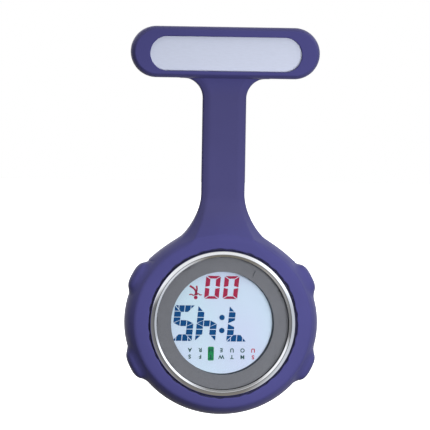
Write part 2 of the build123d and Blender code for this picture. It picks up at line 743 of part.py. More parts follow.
def module_screws():
    """Two self-tapping screws through the circuit board into the plastic frame."""
    screws = []
    head_back = BOARD_BACK + MODULE_SCREW_HEAD_THICK
    for x, z in MODULE_SCREWS:
        place = Pos(x, POD_Z + z)
        screw = slab(place * Circle(MODULE_SCREW_RADIUS), BOARD_FRONT - MODULE_SCREW_LENGTH, BOARD_BACK)
        screw += slab(place * Circle(MODULE_SCREW_HEAD_RADIUS), BOARD_BACK, head_back)
        slot = Rectangle(2 * MODULE_SCREW_HEAD_RADIUS, MODULE_SCREW_SLOT)
        screws.append(screw - slab(place * slot, head_back - MODULE_SCREW_HEAD_THICK / 2, head_back))
    return joined(screws)


def backlight_led():
    """Side-looking lamp at the light guide's edge."""
    x = -GUIDE_WIDTH / 2 - LED_GAP
    half = LED_HALF_WIDTH
    lamp = beam((x - LED_THICK, GUIDE_FRONT + LED_CLEARANCE, -half), (x, BOARD_FRONT, half))
    return Pos(0, 0, POD_Z) * lamp


def side_contacts():
    """Four gold leaf contacts on the circuit board, one in front of each push rod."""
    half = CONTACT_HALF_WIDTH
    board = BOARD_BACK - BUTTON_Y
    back = board + STRIP_THICK
    foot = beam((CONTACT_FOOT, board, -half), (CONTACT_FACE, back, half))
    tab = beam((CONTACT_FACE - STRIP_THICK, -half, -half), (CONTACT_FACE, back, half))
    return joined(at_button(angle, foot + tab) for angle in BUTTONS.values())


def chip_cover():
    """Round epoxy cover over the bonded chip."""
    dome = slab(Pos(CHIP_X, POD_Z) * Circle(CHIP_RADIUS), BOARD_BACK, BOARD_BACK + CHIP_THICK)
    return fillet(dome.faces().sort_by(Axis.Y)[-1].edges(), CHIP_ROUND)


def quartz_can():
    """Quartz crystal in its small metal can, lying on the circuit board."""
    can = post(QUARTZ_RADIUS, *QUARTZ_ENDS)
    can = fillet(can.edges(), QUARTZ_ROUND)
    return Pos(0, BOARD_BACK + QUARTZ_RADIUS, POD_Z - QUARTZ_DROP) * can


def battery():
    """Coin cell: a wide can with a smaller cap at the front."""
    place = Pos(BATTERY_X, POD_Z)
    can_front = BATTERY_FRONT + BATTERY_STEP
    cell = slab(place * Circle(BATTERY_RADIUS), can_front, BATTERY_BACK)
    cell = fillet(cell.faces().sort_by(Axis.Y)[-1].edges(), BATTERY_STEP)
    return cell + slab(place * Circle(BATTERY_RADIUS - BATTERY_CAP_INSET), BATTERY_FRONT, can_front)


def battery_clip():
    """Sprung steel strap over the coin cell, with a leg down to the board at each end."""
    left = -BATTERY_RADIUS - CLIP_GAP
    right = BATTERY_RADIUS + CLIP_GAP
    back = BATTERY_BACK + STRIP_THICK
    half = CLIP_HALF_WIDTH
    clip = beam((left, BATTERY_BACK, -half), (right, back, half))
    clip += beam((left, BOARD_BACK, -half), (left + STRIP_THICK, back, half))
    clip += beam((right - STRIP_THICK, BOARD_BACK, -half), (right, back, half))
    return Pos(BATTERY_X, 0, POD_Z) * clip


def piezo_disc():
    """Brass buzzer disc on the back cover's inside."""
    return slab(Pos(BUZZER_X, POD_Z) * Circle(BUZZER_RADIUS), BUZZER_FRONT, COVER_FRONT)


def buzzer_spring():
    """Tiny coil spring from the circuit board to the buzzer disc."""
    length = BUZZER_FRONT - BOARD_BACK
    spring = coil(BUZZER_SPRING_RADIUS, BUZZER_SPRING_WIRE, length, BUZZER_SPRING_TURNS)
    x, z = BUZZER_SPRING_PLACE
    return Pos(x, BOARD_BACK, POD_Z + z) * Rot(-90, 0, 0) * spring


# ------------------------------------------------------------------ pieces ----
SINGLE_PIECES = {
    "badge_frame": badge_frame,
    "badge_plate": badge_plate,
    "brooch_base": brooch_base,
    "brooch_rivets": brooch_rivets,
    "hinge_knuckle": hinge_knuckle,
    "hinge_rivet": hinge_rivet,
    "pin_stem": pin_stem,
    "catch_body": catch_body,
    "catch_collar": catch_collar,
    "pod_shell": pod_shell,
    "case_body": case_body,
    "bezel_ring": bezel_ring,
    "crystal": crystal,
    "crystal_gasket": crystal_gasket,
    "dial_mask": dial_mask,
    "dial_spacer": dial_spacer,
    "case_gasket": case_gasket,
    "case_back": case_back,
    "case_screws": case_screws,
    "lcd_front_glass": lcd_front_glass,
    "lcd_rear_glass": lcd_rear_glass,
    "lcd_reflector": lcd_reflector,
    "light_guide": light_guide,
    "zebra_strips": zebra_strips,
    "module_frame": module_frame,
    "circuit_board": circuit_board,
    "module_screws": module_screws,
    "backlight_led": backlight_led,
    "side_contacts": side_contacts,
    "chip_cover": chip_cover,
    "quartz_can": quartz_can,
    "battery": battery,
    "battery_clip": battery_clip,
    "piezo_disc": piezo_disc,
    "buzzer_spring": buzzer_spring,
}
BUTTON_PIECES = {
    "bump": bump,
    "pusher": pusher,
    "pusher_seal": pusher_seal,
    "pusher_clip": pusher_clip,
    "pusher_spring": pusher_spring,
}

os.makedirs("parts", exist_ok=True)
for name, make in SINGLE_PIECES.items():
    export_step(make(), f"parts/{name}.step")
for number, name in enumerate(("strap_link_upper", "strap_link_lower")):
    export_step(strap_link(number), f"parts/{name}.step")
for kind, make in BUTTON_PIECES.items():
    for place, angle in BUTTONS.items():
        export_step(make(angle), f"parts/{kind}_{place}.step")
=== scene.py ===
"""A nurse's silicone fob watch: looks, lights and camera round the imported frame.

Places and sizes are in millimetres, and are turned into metres by MM where Blender takes them.
"""
import json
import math

import bmesh
import bpy
import numpy as np
from mathutils import Matrix, Quaternion, Vector


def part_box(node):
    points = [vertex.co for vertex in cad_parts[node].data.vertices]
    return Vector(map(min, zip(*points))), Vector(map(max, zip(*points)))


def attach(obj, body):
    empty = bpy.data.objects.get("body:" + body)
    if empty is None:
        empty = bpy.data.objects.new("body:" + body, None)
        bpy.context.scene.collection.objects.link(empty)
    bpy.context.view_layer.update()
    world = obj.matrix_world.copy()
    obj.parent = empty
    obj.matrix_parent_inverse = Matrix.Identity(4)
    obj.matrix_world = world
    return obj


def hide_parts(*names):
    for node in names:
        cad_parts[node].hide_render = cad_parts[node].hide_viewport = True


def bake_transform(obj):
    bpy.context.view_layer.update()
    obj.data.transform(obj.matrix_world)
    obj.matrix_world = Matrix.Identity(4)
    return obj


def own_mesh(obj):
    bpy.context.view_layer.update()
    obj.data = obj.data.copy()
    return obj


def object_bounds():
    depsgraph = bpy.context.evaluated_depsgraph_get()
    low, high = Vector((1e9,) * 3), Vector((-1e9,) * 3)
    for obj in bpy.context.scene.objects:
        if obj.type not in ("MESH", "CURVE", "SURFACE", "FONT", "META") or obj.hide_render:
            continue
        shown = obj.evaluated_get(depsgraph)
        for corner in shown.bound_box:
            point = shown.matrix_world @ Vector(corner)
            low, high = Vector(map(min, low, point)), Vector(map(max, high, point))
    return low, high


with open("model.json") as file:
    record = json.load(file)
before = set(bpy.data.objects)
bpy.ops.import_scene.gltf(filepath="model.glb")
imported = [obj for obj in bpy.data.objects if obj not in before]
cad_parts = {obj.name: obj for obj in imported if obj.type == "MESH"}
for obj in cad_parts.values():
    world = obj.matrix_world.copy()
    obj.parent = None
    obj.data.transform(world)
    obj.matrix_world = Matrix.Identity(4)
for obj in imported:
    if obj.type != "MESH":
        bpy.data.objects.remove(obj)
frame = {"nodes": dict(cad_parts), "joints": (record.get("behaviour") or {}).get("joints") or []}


def box_list(box):
    """A box's two corners as plain lists."""
    return [[float(value) for value in corner] for corner in box]


CAD_BOX = box_list(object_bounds())
MM = 0.001

# ---------------------------------------------------------------- places ----
# Most places that the looks need come from the frame, in millimetres.
JOINTS = {joint["name"]: joint for joint in frame["joints"]}


def low_mm(node):
    """A CAD node's lowest corner."""
    return np.array(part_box(node)[0]) / MM


def high_mm(node):
    """A CAD node's highest corner."""
    return np.array(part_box(node)[1]) / MM


def middle_mm(node):
    """The middle of a CAD node's box."""
    return (low_mm(node) + high_mm(node)) / 2


def half_mm(node):
    """Half a CAD node's size."""
    return (high_mm(node) - low_mm(node)) / 2


POD_Z = middle_mm("bezel_ring")[2]
BAR_HALF = high_mm("badge_frame")[0]
BAR_TOP = high_mm("badge_frame")[2]
BAR_FRONT = low_mm("badge_frame")[1]
BAR_BACK = high_mm("badge_frame")[1]
PLATE_HALF_X, _, PLATE_HALF_Z = half_mm("badge_plate")
PLATE_FRONT = low_mm("badge_plate")[1]
PLATE_Z = middle_mm("badge_plate")[2]
BASE_BACK = high_mm("brooch_base")[1]
STRAP_HALF = high_mm("strap_link_upper")[0]
STRAP_FRONT = low_mm("strap_link_upper")[1]
STRAP_BACK = high_mm("strap_link_upper")[1]
BEND_Z = [JOINTS[name]["pos_m"][2] / MM for name in (
    "strap_bend_upper", "strap_bend_middle", "strap_bend_lower")]
POD_HALF_X = high_mm("pod_shell")[0]
POD_HALF_Z = POD_Z - low_mm("pod_shell")[2]
POD_BACK = high_mm("pod_shell")[1]
POD_FRONT = low_mm("pod_shell")[1]
CASE_RADIUS = high_mm("case_body")[0]
CASE_FRONT = low_mm("case_body")[1]
CASE_BACK = high_mm("case_body")[1]
BEZEL_RADIUS = high_mm("bezel_ring")[0]
BEZEL_FRONT = low_mm("bezel_ring")[1]
CRYSTAL_RADIUS = high_mm("crystal")[0]
CRYSTAL_FRONT = low_mm("crystal")[1]
LCD_FRONT = low_mm("lcd_front_glass")[1]
BUTTONS = {
    name.removeprefix("press_"): joint for name, joint in JOINTS.items() if name.startswith("press_")
}
PAD_DEPTH = middle_mm("bump_upper_right")[1]


def linked(name, data):
    """A new object that holds some data, in the scene."""
    made = bpy.data.objects.new(name, data)
    bpy.context.scene.collection.objects.link(made)
    return made


# --------------------------------------------------------- node materials ----
def new_material(name, colour, roughness, metallic=0.0):
    """A material with one Principled shader, and handles to build on."""
    made = bpy.data.materials.new(name)
    made.use_nodes = True
    nodes = made.node_tree.nodes
    shader = nodes["Principled BSDF"]
    shader.inputs["Base Color"].default_value = (*colour, 1)
    shader.inputs["Roughness"].default_value = roughness
    shader.inputs["Metallic"].default_value = metallic
    return made, nodes, made.node_tree.links, shader


def axes_of(nodes, links, kind):
    """The coordinates of one kind: Object is a place on the piece, Generated a world direction."""
    place = nodes.new("ShaderNodeTexCoord")
    split = nodes.new("ShaderNodeSeparateXYZ")
    links.new(place.outputs[kind], split.inputs["Vector"])
    return split.outputs


def worked(nodes, links, operation, source, other=None):
    """A value changed by one sum."""
    made = nodes.new("ShaderNodeMath")
    made.operation = operation
    links.new(source, made.inputs[0])
    if other is not None:
        made.inputs[1].default_value = other
    return made.outputs["Value"]


def noise(nodes, links, scale, detail=3.0, stretch=(1, 1, 1)):
    """A noise texture in the object's own metres, stretched along an axis if asked."""
    place = nodes.new("ShaderNodeTexCoord")
    mapping = nodes.new("ShaderNodeMapping")
    mapping.inputs["Scale"].default_value = stretch
    links.new(place.outputs["Object"], mapping.inputs["Vector"])
    texture = nodes.new("ShaderNodeTexNoise")
    texture.inputs["Scale"].default_value = scale
    texture.inputs["Detail"].default_value = detail
    links.new(mapping.outputs["Vector"], texture.inputs["Vector"])
    return texture


def ramp(nodes, links, source, stops):
    """A colour ramp driven by a value; stops are (place, colour)."""
    made = nodes.new("ShaderNodeValToRGB")
    elements = made.color_ramp.elements
    while len(elements) < len(stops):
        elements.new(0.5)
    for element, (place, colour) in zip(elements, stops):
        element.position = place
        element.color = (*colour, 1)
    links.new(source, made.inputs["Fac"])
    return made


def spread(nodes, links, source, low, high):
    """A value carried from 0..1 to low..high."""
    made = nodes.new("ShaderNodeMapRange")
    made.inputs["To Min"].default_value = low
    made.inputs["To Max"].default_value = high
    links.new(source, made.inputs["Value"])
    return made.outputs["Result"]


def spread_from(nodes, links, source, low, high):
    """A value carried from low..high to 0..1."""
    made = nodes.new("ShaderNodeMapRange")
    made.inputs["From Min"].default_value = low
    made.inputs["From Max"].default_value = high
    links.new(source, made.inputs["Value"])
    return made.outputs["Result"]


def bump(nodes, links, shader, height, strength, distance):
    """A bump from a height value, in metres."""
    made = nodes.new("ShaderNodeBump")
    made.inputs["Strength"].default_value = strength
    made.inputs["Distance"].default_value = distance
    links.new(height, made.inputs["Height"])
    links.new(made.outputs["Normal"], shader.inputs["Normal"])


def grained(name, colour, roughness, metallic=0.0, scale=900.0, vary=0.08, stretch=(1, 1, 1),
            rough_vary=0.06, depth=2e-6, gloss=0.5):
    """Colour, roughness and a fine bump that vary a little with one noise."""
    made, nodes, links, shader = new_material(name, colour, roughness, metallic)
    shader.inputs["Specular IOR Level"].default_value = gloss
    grain = noise(nodes, links, scale, 4.0, stretch)
    dark = tuple(c * (1 - vary) for c in colour)
    light = tuple(min(1.0, c * (1 + vary)) for c in colour)
    tint = ramp(nodes, links, grain.outputs["Fac"], ((0.3, dark), (0.7, light)))
    links.new(tint.outputs["Color"], shader.inputs["Base Color"])
    rough = spread(nodes, links, grain.outputs["Fac"], roughness - rough_vary, roughness + rough_vary)
    links.new(rough, shader.inputs["Roughness"])
    bump(nodes, links, shader, grain.outputs["Fac"], 0.4, depth)
    return made


# The thick bar and pod are painted a little deeper and bluer in colour than the thin strap between
# them: painted light, standing in for the brighter light that their front faces catch. The reaches are
# distances from the strap's middle, where the painted tint starts and where it is full.
STRAP_MIDDLE = -23.0
THIN_REACH, THICK_REACH = 13.0, 18.0
# Painted light: how much the red, green and blue are raised on the bar and pod.
THICK_PAINTED_LIGHT = (1.0, 1.02, 1.16)


def silicone_material():
    """Soft satin silicone: slow colour drift, a fine moulded grain, a dusty sheen, and painted light
    that tints the bar and pod lighter and bluer than the strap.
    """
    made, nodes, links, shader = new_material("silicone", (0.059, 0.056, 0.158), 0.5)
    drift = noise(nodes, links, 60.0, 3.0)
    tint = ramp(nodes, links, drift.outputs["Fac"], (
        (0.30, (0.056, 0.053, 0.150)),
        (0.55, (0.059, 0.056, 0.160)),
        (0.75, (0.063, 0.059, 0.169))))
    # Painted light: the tint grows with distance from the strap's middle, lifting the bar and pod ends
    # as if they were lit more brightly.
    height = worked(nodes, links, "SUBTRACT", axes_of(nodes, links, "Object")["Z"], STRAP_MIDDLE * MM)
    distance = worked(nodes, links, "ABSOLUTE", height)
    painted_light_mask = spread_from(nodes, links, distance, THIN_REACH * MM, THICK_REACH * MM)
    painted_light_share = nodes.new("ShaderNodeCombineXYZ")
    for axis, share in zip("XYZ", THICK_PAINTED_LIGHT):
        links.new(spread(nodes, links, painted_light_mask, 1.0, share), painted_light_share.inputs[axis])
    painted_light = nodes.new("ShaderNodeVectorMath")
    painted_light.operation = "MULTIPLY"
    links.new(tint.outputs["Color"], painted_light.inputs[0])
    links.new(painted_light_share.outputs["Vector"], painted_light.inputs[1])
    links.new(painted_light.outputs["Vector"], shader.inputs["Base Color"])
    grain = noise(nodes, links, 4200.0, 2.0)
    links.new(spread(nodes, links, grain.outputs["Fac"], 0.42, 0.54), shader.inputs["Roughness"])
    bump(nodes, links, shader, grain.outputs["Fac"], 0.25, 4e-6)
    shader.inputs["Sheen Weight"].default_value = 0.02
    shader.inputs["Sheen Roughness"].default_value = 0.45
    shader.inputs["Specular IOR Level"].default_value = 0.1
    return made


def turned_metal(name, colour, roughness, ring_scale, depth):
    """Metal with fine rings round the pod's axis, as a lathe or a polishing wheel leaves."""
    made, nodes, links, shader = new_material(name, colour, roughness, 1.0)
    own = axes_of(nodes, links, "Object")
    flat = nodes.new("ShaderNodeCombineXYZ")
    links.new(own["X"], flat.inputs["X"])
    links.new(worked(nodes, links, "SUBTRACT", own["Z"], POD_Z * MM), flat.inputs["Y"])
    radius = nodes.new("ShaderNodeVectorMath")
    radius.operation = "LENGTH"
    links.new(flat.outputs["Vector"], radius.inputs[0])
    along = nodes.new("ShaderNodeCombineXYZ")
    links.new(radius.outputs["Value"], along.inputs["X"])
    texture = nodes.new("ShaderNodeTexNoise")
    texture.inputs["Scale"].default_value = ring_scale
    texture.inputs["Detail"].default_value = 5.0
    links.new(along.outputs["Vector"], texture.inputs["Vector"])
    links.new(spread(nodes, links, texture.outputs["Fac"], roughness * 0.75, roughness * 1.3),
              shader.inputs["Roughness"])
    bump(nodes, links, shader, texture.outputs["Fac"], 0.3, depth)
    return made


def display_material():
    """The display's pearly ground: pale blue with a slow drift to lavender and a fine cell texture."""
    made, nodes, links, shader = new_material("display_ground", (0.60, 0.76, 0.93), 0.35)
    drift = noise(nodes, links, 55.0, 1.5)
    tint = ramp(nodes, links, drift.outputs["Fac"], (
        (0.35, (0.60, 0.67, 0.86)),
        (0.50, (0.60, 0.71, 0.87)),
        (0.68, (0.57, 0.75, 0.85))))
    links.new(tint.outputs["Color"], shader.inputs["Base Color"])
    grain = noise(nodes, links, 9000.0, 2.0)
    bump(nodes, links, shader, grain.outputs["Fac"], 0.1, 1e-6)
    shader.inputs["Specular IOR Level"].default_value = 0.1
    return made


# The slab doesn't bend what is seen through it, so its far face takes the index the other way round.
GLASS_INDEX = 1.45


def crystal_material():
    """Clear flat glass that lets the lamps through and mirrors a little at its surface."""
    made = bpy.data.materials.new("crystal_glass")
    made.use_nodes = True
    nodes, links = made.node_tree.nodes, made.node_tree.links
    nodes.clear()
    clear = nodes.new("ShaderNodeBsdfTransparent")
    clear.inputs["Color"].default_value = (0.951, 0.957, 0.955, 1)
    mirror = nodes.new("ShaderNodeBsdfGlossy")
    edge = nodes.new("ShaderNodeFresnel")
    side = nodes.new("ShaderNodeNewGeometry")
    index = spread(nodes, links, side.outputs["Backfacing"], GLASS_INDEX, 1 / GLASS_INDEX)
    links.new(index, edge.inputs["IOR"])
    smear = noise(nodes, links, 180.0, 2.0)
    links.new(spread(nodes, links, smear.outputs["Fac"], 0.02, 0.06), mirror.inputs["Roughness"])
    mix = nodes.new("ShaderNodeMixShader")
    links.new(edge.outputs["Fac"], mix.inputs["Fac"])
    links.new(clear.outputs["BSDF"], mix.inputs[1])
    links.new(mirror.outputs["BSDF"], mix.inputs[2])
    out = nodes.new("ShaderNodeOutputMaterial")
    links.new(mix.outputs["Shader"], out.inputs["Surface"])
    return made


MATERIALS = {
    "silicone": silicone_material(),
    "plate": grained("satin_plate", (0.56, 0.60, 0.73), 0.34, 0.1, 700, 0.03, (1, 1, 10), 0.05, 8e-7),
    "steel": grained("nickel_steel", (0.62, 0.62, 0.64), 0.26, 1.0, 1500, 0.08, (1, 6, 6), 0.08, 2e-6),
    "bezel": turned_metal("bezel_chrome", (0.80, 0.81, 0.83), 0.10, 9000, 5e-7),
    "cover": turned_metal("cover_steel", (0.60, 0.61, 0.63), 0.27, 5000, 2e-6),
    "screw": grained("screw_steel", (0.34, 0.34, 0.36), 0.24, 1.0, 4000, 0.06),
    "mask": grained("mask_grey", (0.155, 0.158, 0.178), 0.45, 0.0, 2600, 0.05),
    "spacer": grained("spacer_dark", (0.004, 0.012, 0.022), 0.55, 0.0, 2600, 0.1),
    "case": grained("case_plastic", (0.020, 0.020, 0.060), 0.4, 0.0, 1800, 0.1),
    "display": display_material(),
    "crystal": crystal_material(),
    "digit_blue": grained("digit_blue", (0.008, 0.068, 0.215), 0.4, 0.0, 3000, 0.12, gloss=0.05),
    "digit_red": grained("digit_red", (0.37, 0.028, 0.075), 0.4, 0.0, 3000, 0.12, gloss=0.05),
    "letter_dark": grained("letter_dark", (0.022, 0.085, 0.080), 0.45, 0.0, 3000, 0.1, gloss=0.05),
    "letter_red": grained("letter_red", (0.50, 0.045, 0.085), 0.45, 0.0, 3000, 0.1, gloss=0.05),
    "day_green": grained("day_green", (0.020, 0.235, 0.085), 0.45, 0.0, 3000, 0.1, gloss=0.05),
    "rubber": grained("seal_rubber", (0.02, 0.02, 0.02), 0.6, 0.0, 2200, 0.1),
    "white_plastic": grained("white_plastic", (0.72, 0.72, 0.70), 0.5, 0.0, 1800, 0.04),
    "board": grained("board_green", (0.01, 0.10, 0.035), 0.35, 0.0, 2500, 0.15),
    "gold": grained("gold_contact", (0.75, 0.50, 0.16), 0.25, 1.0, 3000, 0.06),
    "black": grained("epoxy_black", (0.012, 0.012, 0.012), 0.4, 0.0, 2000, 0.1),
}
NODE_MATERIALS = {
    "plate": ("badge_plate",),
    "steel": ("brooch_base", "brooch_rivets", "hinge_knuckle", "hinge_rivet", "pin_stem", "catch_body",
              "catch_collar"),
    "cover": ("case_back",),
    "screw": ("case_screws", "module_screws", "battery_clip", "quartz_can", "battery", "buzzer_spring"),
    "mask": ("dial_mask",),
    "spacer": ("dial_spacer",),
    "case": ("case_body",),
    "display": ("lcd_front_glass", "lcd_rear_glass", "lcd_reflector"),
    "crystal": ("crystal", "light_guide"),
    "rubber": ("case_gasket", "crystal_gasket", "zebra_strips"),
    "white_plastic": ("module_frame", "backlight_led"),
    "board": ("circuit_board",),
    "gold": ("side_contacts", "piezo_disc"),
    "black": ("chip_cover",),
}


def dress_nodes():
    """Gives every CAD node that stays its node material."""
    wanted = {node: key for key, group in NODE_MATERIALS.items() for node in group}
    for place in BUTTONS:
        for part in ("pusher", "pusher_clip", "pusher_spring"):
            wanted[f"{part}_{place}"] = "screw"
        wanted[f"pusher_seal_{place}"] = "rubber"
    for node, key in wanted.items():
        for one in frame["nodes"][node].material_slots:
            one.material = MATERIALS[key]


# ------------------------------------------------------------ mesh making ----
def add_mesh(name, points_mm, faces, material, smooth=True):
    """A new mesh object from points in millimetres."""
    mesh = bpy.data.meshes.new(name)
    mesh.from_pydata((np.asarray(points_mm, float) * MM).tolist(), [], faces)
    mesh.validate()
    mesh.update()
    for face in mesh.polygons:
        face.use_smooth = smooth
    mesh.materials.append(MATERIALS[material])
    return linked(name, mesh)


# A moulding is the inside of a field: a function of x, y, z in millimetres, below nought inside.
def both(a, b, radius):
    """Inside both fields, with the edge between them rounded."""
    round_part = np.hypot(np.maximum(a + radius, 0), np.maximum(b + radius, 0))
    return np.minimum(np.maximum(a, b), -radius) + round_part


def either(a, b, radius):
    """Inside either field, with the corner between them filled to a radius."""
    round_part = np.hypot(np.maximum(radius - a, 0), np.maximum(radius - b, 0))
    return np.maximum(np.minimum(a, b), radius) - round_part


def stadium(x, z, half_width, half_height):
    """Distance to a stadium outline."""
    return np.hypot(np.maximum(np.abs(x) - (half_width - half_height), 0), z) - half_height


def bevel(outline, y, start, run, rise):
    """A slope that starts at depth start on the outline, and climbs rise forwards over run inwards."""
    length = np.hypot(run, rise)
    return (outline * rise + (start - y) * run) / length


SEAT_GAP = 0.05
WALL_OVERLAP = 0.1

# Badge bar.
BAR_BEVEL_START = -5.55
BAR_BEVEL_RUN, BAR_BEVEL_RISE = 0.8, 1.25
BAR_SIDE_ROUND, BAR_FRONT_ROUND, BAR_BACK_ROUND, BAR_HOLLOW_ROUND = 0.4, 0.16, 0.6, 0.25
WINDOW_HALF = (17.3, 3.9)
REAR_WINDOW_HALF = (16.0, 2.7)

# Strap, with the web under the bar and the flare over the pod.
WEB_RADIUS = 4.6
WEB_MARGIN = 0.5
EDGE_RUN, EDGE_RISE = 1.5, 0.75
FOOT_EDGE_RUN = 2.6
EDGE_POWER = 1.5
EDGE_SIDE_ROUND, EDGE_FRONT_ROUND, STRAP_BACK_ROUND = 0.5, 0.22, 1.0
FLANK_CORNER = (7.88, -40.9)
FLANK_ANGLE = math.radians(52)
FLANK_RADIUS = 5.0
FLANK_LIMIT = math.radians(41)

# Pod ring, and the ramp that joins it to the strap.
SLOPE_START = -6.7
SLOPE_RUN, SLOPE_RISE = 1.8, 2.8
RIDGE_Y = SLOPE_START - SLOPE_RISE
CROWN_RUN, CROWN_RISE = 1.2, 0.3
SHOULDER_ROUND, RIDGE_ROUND, CROWN_ROUND, POD_BACK_ROUND = 1.1, 0.32, 0.3, 1.3
RAMP_OUTER = 28.5
RAMP_INNER = POD_HALF_X - SLOPE_RUN
RAMP_TOP_Y, RAMP_BACK_Y = RIDGE_Y + 0.1, -0.3
RAMP_POWER = 1.6

# Openings for the watch. The lip's waver is (waves in a turn, height, start).
LIP_RADIUS = 17.0
LIP_WAVER = ((3, 0.05, 0.4), (11, 0.05, 2.1), (29, 0.06, 4.0), (47, 0.05, 1.3))
REAR_OPENING = 16.2

# Fillets between the parts of the moulding.
RAMP_FILLET, PAD_FILLET, BAR_FILLET, HOLLOW_ROUND = 0.8, 0.9, 0.3, 0.2


def bar_field(x, y, z):
    """The badge bar, with its front window, the groove for plate and pin base, and its rear window."""
    outline = stadium(x, z, BAR_HALF, BAR_TOP)
    slope_side = bevel(outline, y, BAR_BEVEL_START, BAR_BEVEL_RUN, BAR_BEVEL_RISE)
    bar = both(both(outline, slope_side, BAR_SIDE_ROUND), BAR_FRONT - y, BAR_FRONT_ROUND)
    bar = both(bar, y - BAR_BACK, BAR_BACK_ROUND)
    window = np.maximum(stadium(x, z - PLATE_Z, *WINDOW_HALF), y - PLATE_FRONT - WALL_OVERLAP)
    groove = stadium(x, z - PLATE_Z, PLATE_HALF_X + SEAT_GAP, PLATE_HALF_Z + SEAT_GAP)
    groove = np.maximum(groove, np.maximum(PLATE_FRONT - SEAT_GAP - y, y - BASE_BACK - SEAT_GAP))
    rear = np.maximum(stadium(x, z, *REAR_WINDOW_HALF), BASE_BACK - WALL_OVERLAP - y)
    hollow = np.minimum(np.minimum(window, groove), rear)
    return both(bar, -hollow, BAR_HOLLOW_ROUND)


def strap_field(x, y, z):
    """The strap, webbed to the bar above, flaring below into a ramp that climbs to the pod's ridge."""
    side = np.abs(x) - STRAP_HALF
    webbed = np.maximum(either(side, -BAR_TOP - z, WEB_RADIUS), side - WEB_RADIUS - WEB_MARGIN)
    across, down = math.cos(FLANK_ANGLE), math.sin(FLANK_ANGLE)
    flank = (np.abs(x) - FLANK_CORNER[0]) * across + (z - FLANK_CORNER[1]) * down
    fan = math.sin(FLANK_LIMIT) * np.abs(x) - math.cos(FLANK_LIMIT) * (z - POD_Z)
    outline = either(webbed, np.maximum(flank, fan), FLANK_RADIUS)
    outline = np.maximum(outline, np.maximum(z, POD_Z + LIP_RADIUS / 2 - z))
    radius = np.hypot(x, z - POD_Z)
    climb = np.clip((radius - RAMP_INNER) / (RAMP_OUTER - RAMP_INNER), 0, 1)
    front = RAMP_TOP_Y + (STRAP_FRONT - RAMP_TOP_Y) * (1 - (1 - climb) ** RAMP_POWER)
    back = RAMP_BACK_Y + (STRAP_BACK - RAMP_BACK_Y) * climb * climb * (3 - 2 * climb)
    foot = (1 - climb) ** EDGE_POWER
    rise = EDGE_RISE + (SLOPE_RISE - EDGE_RISE) * foot
    run = EDGE_RUN + (FOOT_EDGE_RUN - EDGE_RUN) * foot
    body = both(outline, bevel(outline, y, front + rise, run, rise), EDGE_SIDE_ROUND)
    return both(both(body, front - y, EDGE_FRONT_ROUND), y - back, STRAP_BACK_ROUND)


def pod_field(x, y, z):
    """The pod's oval ring: upright side, sloped shoulder, low crown and a lip over the watch."""
    oval = (np.hypot(x / POD_HALF_X, (z - POD_Z) / POD_HALF_Z) - 1) * (POD_HALF_X + POD_HALF_Z) / 2
    ring = both(oval, bevel(oval, y, SLOPE_START, SLOPE_RUN, SLOPE_RISE), SHOULDER_ROUND)
    ring = both(ring, bevel(oval + SLOPE_RUN, y, RIDGE_Y, CROWN_RUN, CROWN_RISE), RIDGE_ROUND)
    ring = both(ring, POD_FRONT - y, CROWN_ROUND)
    return both(ring, y - POD_BACK, POD_BACK_ROUND)


PAD_MIDDLE = 20.4
PAD_REACH = 2.8
PAD_HALF_WIDTH = 3.9
PAD_HALF_DEPTH = 3.2
PAD_POWER = 2.8
PAD_ROOT = CASE_RADIUS + 1


def button_frame(place):
    """The outward and the sideways direction of a button, as (x, z) pairs."""
    inward = BUTTONS[place]["axis"]
    return (-inward[0], -inward[2]), (inward[2], -inward[0])


def pad_field(place, x, y, z):
    """The soft domed pad over one button."""
    out, side = button_frame(place)
    along = x * out[0] + (z - POD_Z) * out[1]
    across = x * side[0] + (z - POD_Z) * side[1]
    parts = (
        np.abs((along - PAD_MIDDLE) / PAD_REACH),
        np.abs(across / PAD_HALF_WIDTH),
        np.abs((y - PAD_DEPTH) / PAD_HALF_DEPTH))
    total = sum(part ** PAD_POWER for part in parts)
    dome = (np.maximum(total, 1e-9) ** (1 / PAD_POWER) - 1) * PAD_REACH
    return np.maximum(dome, PAD_ROOT - along)


def watch_hollow(x, y, z):
    """The space for the watch head, open in front inside the lip and open behind."""
    radius = np.hypot(x, z - POD_Z)
    bore = np.maximum(radius - CASE_RADIUS - SEAT_GAP, CASE_FRONT - SEAT_GAP - y)
    bore = np.maximum(bore, y - CASE_BACK - SEAT_GAP)
    turn = np.arctan2(z - POD_Z, x)
    waver = sum(size * np.sin(count * turn + start) for count, size, start in LIP_WAVER)
    mouth = np.maximum(radius - LIP_RADIUS - waver, y - CASE_FRONT)
    rear = np.maximum(radius - REAR_OPENING, CASE_BACK - y)
    return np.minimum(np.minimum(bore, mouth), rear)


def moulding_field(x, y, z):
    """The whole silicone moulding without its button pads."""
    body = either(pod_field(x, y, z), strap_field(x, y, z), RAMP_FILLET)
    for place in BUTTONS:
        body = either(body, pad_field(place, x, y, z), PAD_FILLET)
    body = either(body, bar_field(x, y, z), BAR_FILLET)
    return both(body, -watch_hollow(x, y, z), HOLLOW_ROUND)


def slope(field, points, step=0.02):
    """The field's gradient at some points."""
    parts = []
    for axis in range(3):
        shift = np.zeros(3)
        shift[axis] = step
        ahead, behind = (points + shift).T, (points - shift).T
        parts.append((field(*ahead) - field(*behind)) / (2 * step))
    return np.stack(parts, axis=1)


def onto_surface(field, points, rounds=3):
    """Points moved along the gradient onto the field's surface."""
    for _ in range(rounds):
        gradient = slope(field, points)
        size = np.maximum((gradient ** 2).sum(1), 0.05)
        points = points - gradient * (field(*points.T) / size)[:, None]
    return points


